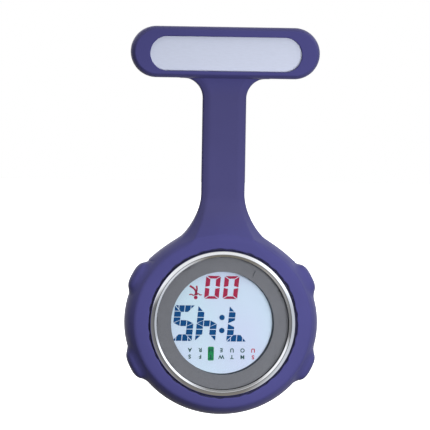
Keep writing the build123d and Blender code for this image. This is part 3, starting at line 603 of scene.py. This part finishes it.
def surface_net(field, low, high, cell):
    """Points and quads of the field's surface inside a box: one point in each cell that it crosses."""
    axes = [np.arange(a, b + cell, cell) for a, b in zip(low, high)]
    value = field(*np.meshgrid(*axes, indexing="ij"))
    inside = value < 0
    counts = np.array(value.shape) - 1
    corners = [inside[i:i + counts[0], j:j + counts[1], k:k + counts[2]]
               for i in (0, 1) for j in (0, 1) for k in (0, 1)]
    total = sum(corner.astype(np.int8) for corner in corners)
    active = (total > 0) & (total < 8)
    index = np.full(counts, -1)
    index[active] = np.arange(active.sum())
    cells = np.argwhere(active)
    points = np.array(low) + (cells + 0.5) * cell
    quads = []
    for axis in range(3):
        others = ((axis + 1) % 3, (axis + 2) % 3)
        here = [slice(None)] * 3
        here[axis] = slice(0, -1)
        ahead = [slice(None)] * 3
        ahead[axis] = slice(1, None)
        crossing = inside[tuple(here)] != inside[tuple(ahead)]
        found = np.argwhere(crossing)
        keep = np.all((found[:, others] > 0) & (found[:, others] < counts[list(others)]), axis=1)
        found = found[keep]
        rings = []
        for first, second in ((-1, -1), (0, -1), (0, 0), (-1, 0)):
            place = found.copy()
            place[:, others[0]] += first
            place[:, others[1]] += second
            rings.append(index[tuple(place.T)])
        quad = np.stack(rings, axis=1)
        outward = inside[tuple(found.T)]
        quad[~outward] = quad[~outward][:, ::-1]
        quads.append(quad)
    return points, np.concatenate(quads)


def relax(points, quads, rounds):
    """Evens the net out: each point moves to the mean of its neighbours."""
    start = quads.ravel()
    end = np.roll(quads, -1, axis=1).ravel()
    pairs = np.concatenate([np.stack([start, end], 1), np.stack([end, start], 1)])
    count = np.bincount(pairs[:, 0], minlength=len(points))[:, None]
    for _ in range(rounds):
        total = np.stack([
            np.bincount(pairs[:, 0], weights=points[pairs[:, 1], axis], minlength=len(points))
            for axis in range(3)], axis=1)
        points = total / np.maximum(count, 1)
    return points


def moulded(name, field, low, high, cell):
    """A closed mesh of a field's surface."""
    points, quads = surface_net(field, low, high, cell)
    points = onto_surface(field, points, 4)
    points = onto_surface(field, relax(points, quads, 1), 3)
    return add_mesh(name, points, quads.tolist(), "silicone")


def field_normals(made, field):
    """Sets the mesh's normals to the field's gradient, so that it shades as the smooth form."""
    points = np.zeros(len(made.data.vertices) * 3)
    made.data.vertices.foreach_get("co", points)
    points = points.reshape(-1, 3) / MM
    normals = slope(field, points)
    normals /= np.maximum(np.linalg.norm(normals, axis=1), 1e-6)[:, None]
    made.data.normals_split_custom_set_from_vertices(normals.tolist())


# --------------------------------------------------------------- silicone ----
MOULD_CELL = 0.26
MOULD_MARGIN, MOULD_SIDE_MARGIN = 0.9, 1.5
PAD_CUT_INNER = 19.2
PAD_CUT_HALF = 6.4
CUT_REACH = 2.0
ON_PLANE = 1e-7


def pad_planes(place):
    """The three planes (point, normal away from the pad) that part a pad from the ring, in metres."""
    out, side = button_frame(place)
    centre = Vector((0, 0, POD_Z * MM))
    out = Vector((out[0], 0, out[1]))
    side = Vector((side[0], 0, side[1]))
    return (
        (centre + out * PAD_CUT_INNER * MM, -out),
        (centre + side * PAD_CUT_HALF * MM, side),
        (centre - side * PAD_CUT_HALF * MM, -side),
    )


def cap(mesh, planes):
    """Closes a cut by planes: joins the corners where two planes meet, then fills each plane's loop."""
    def on(vert, plane):
        return abs((vert.co - plane[0]).dot(plane[1])) < ON_PLANE

    rim = [edge for edge in mesh.edges if edge.is_boundary]
    rim_verts = {vert for edge in rim for vert in edge.verts}
    inner = planes[0]
    for other in planes[1:]:
        corners = [vert for vert in rim_verts if on(vert, inner) and on(vert, other)]
        if len(corners) == 2:
            rim.append(mesh.edges.new(corners))
    for plane in planes:
        loop = [edge for edge in rim if all(on(vert, plane) for vert in edge.verts)]
        bmesh.ops.holes_fill(mesh, edges=loop, sides=0)
    bmesh.ops.recalc_face_normals(mesh, faces=mesh.faces)


def carve(mesh, planes):
    """Parts a mesh into what is outside the planes (left in it) and what is inside (returned)."""
    def depth(point):
        return max((point - co).dot(no) for co, no in planes)

    for co, no in planes:
        near = [face for face in mesh.faces if depth(face.calc_center_median()) < CUT_REACH * MM]
        nearby = {item for face in near for item in (*face.verts, *face.edges, face)}
        bmesh.ops.bisect_plane(mesh, geom=list(nearby), plane_co=co, plane_no=no, dist=1e-9)
    mesh.faces.index_update()
    inside = {face.index for face in mesh.faces if depth(face.calc_center_median()) < 0}
    part = mesh.copy()
    part.faces.ensure_lookup_table()
    outer = [face for face in part.faces if face.index not in inside]
    bmesh.ops.delete(part, geom=outer, context="FACES")
    inner = [face for face in mesh.faces if face.index in inside]
    bmesh.ops.delete(mesh, geom=inner, context="FACES")
    cap(part, planes)
    cap(mesh, planes)
    return part


def piece_of_moulding(name, mesh):
    """An object from part of the moulding, shaded with the whole moulding's own normals."""
    data = bpy.data.meshes.new(name)
    mesh.to_mesh(data)
    mesh.free()
    data.materials.append(MATERIALS["silicone"])
    for face in data.polygons:
        face.use_smooth = True
    made = linked(name, data)
    field_normals(made, moulding_field)
    return made


def slice_between(whole, top_mm, bottom_mm):
    """A copy of a mesh kept between two levels, with flat ends where it is cut."""
    mesh = bmesh.new()
    mesh.from_mesh(whole.data)
    for level, up in ((top_mm, 1), (bottom_mm, -1)):
        if level is None:
            continue
        everything = mesh.verts[:] + mesh.edges[:] + mesh.faces[:]
        cut = bmesh.ops.bisect_plane(mesh, geom=everything, plane_co=(0, 0, level * MM),
                                     plane_no=(0, 0, up), clear_outer=True)
        rim = [item for item in cut["geom_cut"] if isinstance(item, bmesh.types.BMEdge)]
        bmesh.ops.holes_fill(mesh, edges=rim, sides=0)
    return mesh


def build_silicone():
    """The moulding cut into three lengths that each hold one bend line of the strap, with a pad cut out
    of the pod over each button.
    """
    margin, side_margin = MOULD_MARGIN, MOULD_SIDE_MARGIN
    low = (-POD_HALF_X - side_margin, BEZEL_FRONT - margin, POD_Z - POD_HALF_Z - margin)
    high = (POD_HALF_X + side_margin, POD_BACK + margin, BAR_TOP + margin)
    whole = moulded("silicone_whole", moulding_field, low, high, MOULD_CELL)
    cuts = [(BEND_Z[0] + BEND_Z[1]) / 2, (BEND_Z[1] + BEND_Z[2]) / 2]
    lengths = (
        ("silicone_badge", None, cuts[0], "badge", "strap_upper", ("badge_frame",)),
        ("silicone_strap", cuts[0], cuts[1], "strap_upper", "strap_lower",
         ("strap_link_upper", "strap_link_lower")),
        ("silicone_pod", cuts[1], None, "strap_lower", "pod", ("pod_shell",)),
    )
    for level, (name, top, bottom, above, below, nodes) in zip(BEND_Z, lengths):
        mesh = slice_between(whole, top, bottom)
        if name == "silicone_pod":
            for place in BUTTONS:
                build_pad(place, carve(mesh, pad_planes(place)))
        piece = piece_of_moulding(name, mesh)
        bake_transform(piece)
        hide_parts(*nodes)
    bpy.data.objects.remove(whole)


def build_pad(place, mesh):
    """A soft pad over a button, as its own piece of the moulding, in place of the CAD bump."""
    pad = piece_of_moulding(f"button_pad_{place}", mesh)
    out, _ = button_frame(place)
    out = Vector((out[0], 0, out[1])) * MM
    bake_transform(pad)
    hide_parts(f"bump_{place}")


def fold_springs():
    """Gives each button's spring a mesh of its own."""
    for place in BUTTONS:
        out, _ = button_frame(place)
        out = Vector((out[0], 0, out[1]))
        spring = frame["nodes"][f"pusher_spring_{place}"]
        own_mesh(spring)


# ------------------------------------------------------------- watch head ----
TURNS = 256
CORNER_STEPS, CORNER_SHARE = 4, 0.45
BEZEL_ROUND = 0.14
# The bezel's shoulder: how far inwards, and how far behind the bezel's front, each of its points lies.
BEZEL_SHOULDER = ((0.0, 0.7), (0.2, 0.3), (1.0, 0.0))
BEZEL_SKIRT = 0.35
BEZEL_OVERLAP = 0.55
SPACER_INNER, SPACER_OUTER = 11.85, 15.85
SPACER_UNDERCUT = 0.2
SPACER_FLANGE = 0.25
SHELF_RADIUS = 14.35
SPACER_LEAN = {5: (-0.22, 0.12)}


def lathe(name, outline, material, body, leaning=None):
    """A ring turned round the pod's axis from its closed (radius, y) outline.

    Leaning shifts some of the outline's points, by number, sideways by (x, z), for a ring that is not
    quite centred.
    """
    points, faces = [], []
    count = len(outline)
    for turn in range(TURNS):
        angle = 2 * math.pi * turn / TURNS
        for number, (radius, y) in enumerate(outline):
            x, z = (leaning or {}).get(number, (0, 0))
            points.append((x + radius * math.cos(angle), y, POD_Z + z + radius * math.sin(angle)))
        for here in range(count):
            ahead = (here + 1) % count
            after = (turn + 1) % TURNS * count
            faces.append((turn * count + here, turn * count + ahead, after + ahead, after + here))
    made = add_mesh(name, points, faces, material)
    mesh = bmesh.new()
    mesh.from_mesh(made.data)
    bmesh.ops.recalc_face_normals(mesh, faces=mesh.faces)
    mesh.to_mesh(made.data)
    mesh.free()
    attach(made, body)
    return made


def rounded(outline, radius):
    """A closed outline with each corner rounded by a short arc."""
    result = []
    count = len(outline)
    for here in range(count):
        corner = np.array(outline[here], float)
        before = np.array(outline[here - 1], float) - corner
        after = np.array(outline[(here + 1) % count], float) - corner
        size_before, size_after = np.linalg.norm(before), np.linalg.norm(after)
        reach = min(radius, size_before * CORNER_SHARE, size_after * CORNER_SHARE)
        start = corner + before / size_before * reach
        end = corner + after / size_after * reach
        for step in range(CORNER_STEPS + 1):
            t = step / CORNER_STEPS
            result.append(tuple((1 - t) ** 2 * start + 2 * t * (1 - t) * corner + t * t * end))
    return result


def build_bezel():
    """The chrome bezel: a rounded outer shoulder and a long inner slope to the crystal."""
    back = high_mm("bezel_ring")[1]
    skirt = BEZEL_RADIUS - BEZEL_SKIRT
    outline = (
        (BEZEL_RADIUS, CASE_FRONT),
        *((BEZEL_RADIUS - inwards, BEZEL_FRONT + depth) for inwards, depth in BEZEL_SHOULDER),
        (CRYSTAL_RADIUS - BEZEL_OVERLAP, CRYSTAL_FRONT),
        (CRYSTAL_RADIUS + SEAT_GAP, CRYSTAL_FRONT),
        (CRYSTAL_RADIUS + SEAT_GAP, back),
        (skirt, back),
        (skirt, CASE_FRONT),
    )
    bezel = lathe("bezel", rounded(outline, BEZEL_ROUND), "bezel", "pod")
    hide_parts("bezel_ring")


def build_spacer():
    """The dark stepped ring between the mask and the display, a touch off centre at the display."""
    front, back = low_mm("dial_spacer")[1], high_mm("dial_spacer")[1]
    outline = (
        (SPACER_INNER, front),
        (SHELF_RADIUS, front),
        (SHELF_RADIUS, back - SPACER_FLANGE),
        (SPACER_OUTER, back - SPACER_FLANGE),
        (SPACER_OUTER, back),
        (SPACER_INNER - SPACER_UNDERCUT, back),
    )
    spacer = lathe("spacer", outline, "spacer", "pod", SPACER_LEAN)
    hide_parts("dial_spacer")


# ---------------------------------------------------------------- display ----
# The display is drawn as the wearer reads it: u runs to the wearer's right and v up, from the pod's
# middle, and the whole is upside down on the hanging watch.
INK_THICK = 0.03
SLANT = math.tan(math.radians(5))
SEGMENTS = {"0": "abcdef", "4": "bcfg", "5": "acdfg", "7": "abc"}
SEGMENT_END = 0.8
FAR = 100.0
DOT_SIDES = 24

# A shape gives a digit's width, height, bar, post and gap.
# A row lists each digit with the u of its left foot.
TIME_SHAPE = (4.6, 8.12, 1.5, 1.5, 0.16)
TIME_DIGITS = (("7", -6.3), ("4", 0.85), ("5", 6.2))
TIME_BASE = -3.93
END_CUT, MIDDLE_CUTS = 0.62, (0.34, 0.66)
COLON_U, COLON_V, COLON_RADIUS = 0.05, (-1.25, 1.72), 0.62
SECONDS_SHAPE = (3.35, 5.24, 0.62, 1.02, 0.2)
SECONDS_DIGITS = (("0", -3.8), ("0", 0.43))
SECONDS_BASE = -10.72

# The running figure: its head, and each limb's width and bends.
RUNNER_HEAD = (6.13, -5.75, 0.43)
RUNNER_LIMBS = (
    (0.6, ((6.08, -6.25), (6.03, -7.05))),
    (0.45, ((6.03, -7.0), (6.48, -7.75), (7.53, -8.4))),
    (0.4, ((6.03, -7.0), (5.83, -7.65), (5.98, -8.4))),
    (0.27, ((6.18, -6.45), (6.68, -6.2), (7.13, -6.5), (7.63, -6.35))),
    (0.27, ((5.93, -6.45), (5.53, -6.65), (5.13, -6.3), (4.78, -6.4))),
)

# The weekdays: two letters each, one above the other, and a frame on one day.
DAYS = ("SU", "MO", "TU", "WE", "TH", "FR", "SA")
FRAMED_DAY = "TH"
DAY_STEP = 2.41
DAY_SHIFT = 0.06
LETTER_V = (7.32, 5.8)
LETTER_SIZE = 1.25
LETTER_WEIGHT = 0.045
FRAME_HALF, FRAME_LOW, FRAME_HIGH, FRAME_CORNER = 0.68, 5.42, 8.6, 0.3
WELD = 1e-6


def clipped(polygon, axis, limit, side):
    """The part of a polygon on one side of a line square to an axis."""
    result = []
    for here, point in enumerate(polygon):
        before = polygon[here - 1]
        now, was = side * (point[axis] - limit), side * (before[axis] - limit)
        if (now >= 0) != (was >= 0):
            t = was / (was - now)
            result.append(tuple(b + t * (p - b) for b, p in zip(before, point)))
        if now >= 0:
            result.append(point)
    return result


def strips(polygon, axis, cuts, gap):
    """A polygon cut into strips with a gap at each cut."""
    edges = [-FAR, *cuts, FAR]
    found = []
    for low, high in zip(edges, edges[1:]):
        part = clipped(clipped(polygon, axis, low + gap / 2, 1), axis, high - gap / 2, -1)
        if len(part) > 2:
            found.append(part)
    return found


def digit_shapes(width, height, bar, post_width, gap):
    """The seven segments of a digit as polygons, keyed by their usual letters."""
    middle, end = height / 2, gap * SEGMENT_END
    under, half = height - bar, bar / 2
    far_post = width - post_width
    bar_top, bar_bottom = middle + half - gap / 2, middle - half + gap / 2

    def flip_x(shape):
        return [(width - u, v) for u, v in shape]

    def flip_y(shape):
        return [(u, height - v) for u, v in shape]

    top = [(end, height), (width - end, height), (far_post, under), (post_width, under)]
    upper = [(0, height - end), (0, middle + gap / 2), (post_width, middle + half),
             (post_width, under - end)]
    across = [(end, middle), (post_width, bar_top), (far_post, bar_top),
              (width - end, middle), (far_post, bar_bottom), (post_width, bar_bottom)]
    return {"a": top, "d": flip_y(top), "f": upper, "b": flip_x(upper), "e": flip_y(upper),
            "c": flip_x(flip_y(upper)), "g": across}


def ink(name, polygons, material):
    """Thin closed patches lying on the display glass, from polygons in the wearer's u and v."""
    points, faces = [], []
    for polygon in polygons:
        count, first = len(polygon), len(points)
        area = sum(a[0] * b[1] - b[0] * a[1] for a, b in zip(polygon, polygon[1:] + polygon[:1]))
        loop = polygon if area > 0 else polygon[::-1]
        for y in (LCD_FRONT - INK_THICK, LCD_FRONT):
            points += [(-u, y, POD_Z - v) for u, v in loop]
        faces.append(tuple(first + i for i in range(count)))
        faces.append(tuple(first + count + i for i in reversed(range(count))))
        for i in range(count):
            j = (i + 1) % count
            faces.append((first + j, first + i, first + count + i, first + count + j))
    made = add_mesh(name, points, faces, material, smooth=False)
    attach(made, "pod")


def slanted(polygon, left, base):
    """A digit's polygon moved to its place and leaned over."""
    return [(left + u + v * SLANT, base + v) for u, v in polygon]


def circle(u, v, radius):
    """A round dot as a polygon."""
    turns = (2 * math.pi * i / DOT_SIDES for i in range(DOT_SIDES))
    return [(u + radius * math.cos(t), v + radius * math.sin(t)) for t in turns]


def build_time():
    """The hours and minutes: bold blue digits, their segments cut by fine lines, and a round colon."""
    width, height, _, post_width, gap = TIME_SHAPE
    shapes = digit_shapes(*TIME_SHAPE)
    third = height / 2 / 3
    post_cuts = [third * i for i in (1, 2, 4, 5)]
    bar_cuts = [post_width * END_CUT, width / 2, width - post_width * END_CUT]
    middle_cuts = [width * share for share in MIDDLE_CUTS]
    patches = []
    for text, left in TIME_DIGITS:
        for letter in SEGMENTS[text]:
            axis, cuts = (1, post_cuts) if letter in "bcef" else (0, bar_cuts)
            if letter == "g":
                cuts = middle_cuts
            for part in strips(shapes[letter], axis, cuts, gap):
                patches.append(slanted(part, left, TIME_BASE))
    patches += [circle(COLON_U, v, COLON_RADIUS) for v in COLON_V]
    ink("display_time", patches, "digit_blue")


def build_seconds():
    """The two red seconds digits."""
    shapes = digit_shapes(*SECONDS_SHAPE)
    patches = [slanted(shapes[letter], left, SECONDS_BASE)
               for text, left in SECONDS_DIGITS for letter in SEGMENTS[text]]
    ink("display_seconds", patches, "digit_red")


def stroke(points, width):
    """A line of even width through points, as one polygon for each run."""
    runs = []
    for a, b in zip(points, points[1:]):
        length = math.hypot(b[0] - a[0], b[1] - a[1])
        off = (-(b[1] - a[1]) / length * width / 2, (b[0] - a[0]) / length * width / 2)
        runs.append([(a[0] + off[0], a[1] + off[1]), (a[0] - off[0], a[1] - off[1]),
                     (b[0] - off[0], b[1] - off[1]), (b[0] + off[0], b[1] + off[1])])
    return runs


def build_runner():
    """A small pictogram of a person exercising: a round head, a body, two arms and two legs."""
    patches = [circle(*RUNNER_HEAD)]
    for width, points in RUNNER_LIMBS:
        patches += stroke(points, width)
    ink("display_runner", patches, "digit_red")


def letter_mesh(name, text, u, v, material, front):
    """One small letter, centred on u and standing on v as the wearer reads it."""
    curve = bpy.data.curves.new(name, "FONT")
    curve.body = text
    curve.size = LETTER_SIZE * MM
    curve.align_x = "CENTER"
    curve.extrude = INK_THICK / 2 * MM
    curve.offset = LETTER_WEIGHT * MM
    text_object = linked(name, curve)
    bpy.context.view_layer.update()
    mesh = bpy.data.meshes.new_from_object(text_object)
    bpy.data.objects.remove(text_object)
    turn = Matrix(((-1, 0, 0), (0, 0, -1), (0, -1, 0))).to_4x4()
    place = Matrix.Translation(Vector((-u, front - INK_THICK / 2, POD_Z - v)) * MM)
    mesh.transform(place @ turn)
    letter = bmesh.new()
    letter.from_mesh(mesh)
    bmesh.ops.remove_doubles(letter, verts=letter.verts, dist=WELD)
    bmesh.ops.recalc_face_normals(letter, faces=letter.faces)
    letter.to_mesh(mesh)
    letter.free()
    mesh.materials.clear()
    mesh.materials.append(MATERIALS[material])
    return linked(name, mesh)


def day_u(day):
    """Where a weekday stands in the row."""
    return (DAYS.index(day) - len(DAYS) // 2) * DAY_STEP + DAY_SHIFT


def build_days():
    """The row of weekday letters, with a green frame on one day."""
    for day in DAYS:
        colour = "letter_red" if day == "SU" else "letter_dark"
        front = LCD_FRONT - (INK_THICK if day == FRAMED_DAY else 0)
        letters = [letter_mesh(f"day_{day}_{i}", text, day_u(day), v, colour, front)
                   for i, (text, v) in enumerate(zip(day, LETTER_V))]
        for one in letters:
            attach(one, "pod")
    build_day_frame()


def build_day_frame():
    """The green frame: a small upright patch with round corners."""
    right, high, low = FRAME_HALF - FRAME_CORNER, FRAME_HIGH - FRAME_CORNER, FRAME_LOW + FRAME_CORNER
    centres = ((right, high), (-right, high), (-right, low), (right, low))
    outline = []
    for quarter, (u, v) in enumerate(centres):
        for degrees in range(0, 91, 15):
            angle = math.radians(quarter * 90 + degrees)
            outline.append((day_u(FRAMED_DAY) + u + FRAME_CORNER * math.cos(angle),
                            v + FRAME_CORNER * math.sin(angle)))
    ink("day_frame", [outline], "day_green")


# ----------------------------------------------------- camera and lighting ----
VIEW_MM = 98.04
SENSOR = 36
CAMERA_DISTANCE = 1.2
AZIMUTH, ELEVATION, ROLL = math.radians(-4.5), math.radians(2.0), math.radians(0.95)
TARGET_MM = Vector((-1.85, -5.0, -37.05))


def add_camera():
    """A long lens at the object's front, a little to its left and above."""
    data = bpy.data.cameras.new("camera")
    data.sensor_width = SENSOR
    data.lens = SENSOR * CAMERA_DISTANCE / (VIEW_MM * MM)
    data.clip_end = 50
    made = linked("camera", data)
    back = Vector((
        math.sin(AZIMUTH) * math.cos(ELEVATION),
        -math.cos(AZIMUTH) * math.cos(ELEVATION),
        math.sin(ELEVATION)))
    made.location = TARGET_MM * MM + back * CAMERA_DISTANCE
    turn = back.to_track_quat("Z", "Y")
    made.rotation_mode = "QUATERNION"
    made.rotation_quaternion = turn @ Quaternion((0, 0, 1), ROLL)
    bpy.context.scene.camera = made


def add_area(name, place, aim, size, power):
    """A soft rectangular lamp aimed at a point."""
    data = bpy.data.lights.new(name, "AREA")
    data.shape = "RECTANGLE"
    data.size, data.size_y = size
    data.energy = power
    made = linked(name, data)
    made.location = place
    made.rotation_mode = "QUATERNION"
    made.rotation_quaternion = (Vector(place) - Vector(aim)).to_track_quat("Z", "Y")
    return made


# How bright the white studio is along each axis, from its low end to its high end: once as it lights
# matt surfaces, and once as polished ones mirror it.
ROOM_LIGHT = {
    "X": ((0.0, (0.0, 0.0, 0.0)), (0.50, (0.0, 0.0, 0.0)), (1.0, (0.03, 0.035, 0.045))),
    "Y": ((0.0, (0.0, 0.0, 0.0)), (0.88, (0.0, 0.0, 0.0)), (0.96, (0.75, 0.74, 0.73))),
    "Z": ((0.0, (0.0, 0.0, 0.0)), (0.50, (0.03, 0.03, 0.035)), (0.90, (1.0, 1.0, 1.0))),
}
ROOM_MIRRORED = {
    "X": ((0.0, (0.18, 0.18, 0.18)), (0.18, (0.16, 0.16, 0.17)), (0.35, (0.0, 0.0, 0.0)),
          (0.65, (0.0, 0.0, 0.0)), (0.80, (0.60, 0.64, 0.70)), (1.0, (0.55, 0.58, 0.64))),
    "Y": ((0.0, (0.0, 0.0, 0.0)), (0.74, (0.0, 0.0, 0.0)), (0.92, (0.9, 0.88, 0.85))),
    "Z": ((0.0, (0.20, 0.185, 0.15)), (0.10, (0.28, 0.26, 0.23)), (0.22, (0.22, 0.21, 0.20)),
          (0.38, (0.08, 0.08, 0.08)), (0.56, (0.05, 0.05, 0.05)), (0.66, (0.95, 0.97, 1.0)),
          (0.84, (1.0, 1.0, 1.0)), (0.93, (0.36, 0.36, 0.36)), (1.0, (0.30, 0.30, 0.30))),
}
KEY_PLACE, KEY_AIM = (0.065, -0.20, -0.055), (0.0, 0, -0.16)
KEY_SIZE, KEY_POWER = (0.14, 0.09), 0.56


def room_shader(nodes, links, direction, light):
    """The studio's glow in a direction, as the sum of its glow along each axis."""
    room = None
    for axis, stops in light.items():
        glow = nodes.new("ShaderNodeBackground")
        tint = ramp(nodes, links, spread_from(nodes, links, direction[axis], -1, 1), stops)
        links.new(tint.outputs["Color"], glow.inputs["Color"])
        if room is None:
            room = glow
            continue
        together = nodes.new("ShaderNodeAddShader")
        links.new(room.outputs[0], together.inputs[0])
        links.new(glow.outputs[0], together.inputs[1])
        room = together
    return room


def chosen(nodes, links, choice, if_not, if_so):
    """One of two shaders, chosen by the kind of ray."""
    mix = nodes.new("ShaderNodeMixShader")
    links.new(choice, mix.inputs["Fac"])
    links.new(if_not.outputs[0], mix.inputs[1])
    links.new(if_so.outputs[0], mix.inputs[2])
    return mix


def add_lights():
    """A white studio that is brighter above and to the right, and a wide soft lamp on that side."""
    world = bpy.data.worlds.new("studio")
    world.use_nodes = True
    nodes, links = world.node_tree.nodes, world.node_tree.links
    nodes.clear()
    direction = axes_of(nodes, links, "Generated")
    soft = room_shader(nodes, links, direction, ROOM_LIGHT)
    mirrored = room_shader(nodes, links, direction, ROOM_MIRRORED)
    seen = nodes.new("ShaderNodeBackground")
    seen.inputs["Color"].default_value = (1, 1, 1, 1)
    ray = nodes.new("ShaderNodeLightPath")
    lit = chosen(nodes, links, ray.outputs["Is Glossy Ray"], soft, mirrored)
    whole = chosen(nodes, links, ray.outputs["Is Camera Ray"], lit, seen)
    out = nodes.new("ShaderNodeOutputWorld")
    links.new(whole.outputs["Shader"], out.inputs["Surface"])
    bpy.context.scene.world = world
    key = add_area("key", KEY_PLACE, KEY_AIM, KEY_SIZE, KEY_POWER)
    key.visible_glossy = False


FLOOR_DROP = 0.12
FLOOR_HALF = 6.0


def add_floor():
    """A plain white floor well below the watch."""
    level = CAD_BOX[0][2] - FLOOR_DROP
    corners = [(x * FLOOR_HALF, y * FLOOR_HALF, level) for x, y in ((-1, -1), (1, -1), (1, 1), (-1, 1))]
    mesh = bpy.data.meshes.new("floor")
    mesh.from_pydata(corners, [], [(0, 1, 2, 3)])
    made, nodes, links, shader = new_material("floor_white", (0.93, 0.93, 0.93), 0.8)
    grain = noise(nodes, links, 40.0, 2.0)
    links.new(spread(nodes, links, grain.outputs["Fac"], 0.78, 0.84), shader.inputs["Roughness"])
    shader.inputs["Emission Color"].default_value = (1, 1, 1, 1)
    shader.inputs["Emission Strength"].default_value = 1.0
    mesh.materials.append(made)
    floor = linked("floor", mesh)
    floor.visible_diffuse = False
    floor.visible_glossy = False


def main():
    """Builds the pieces, the stage and the lights."""
    dress_nodes()
    add_camera()
    add_lights()
    add_floor()
    build_silicone()
    fold_springs()
    build_bezel()
    build_spacer()
    build_time()
    build_seconds()
    build_runner()
    build_days()
    bpy.context.scene.view_settings.view_transform = "Standard"


main()
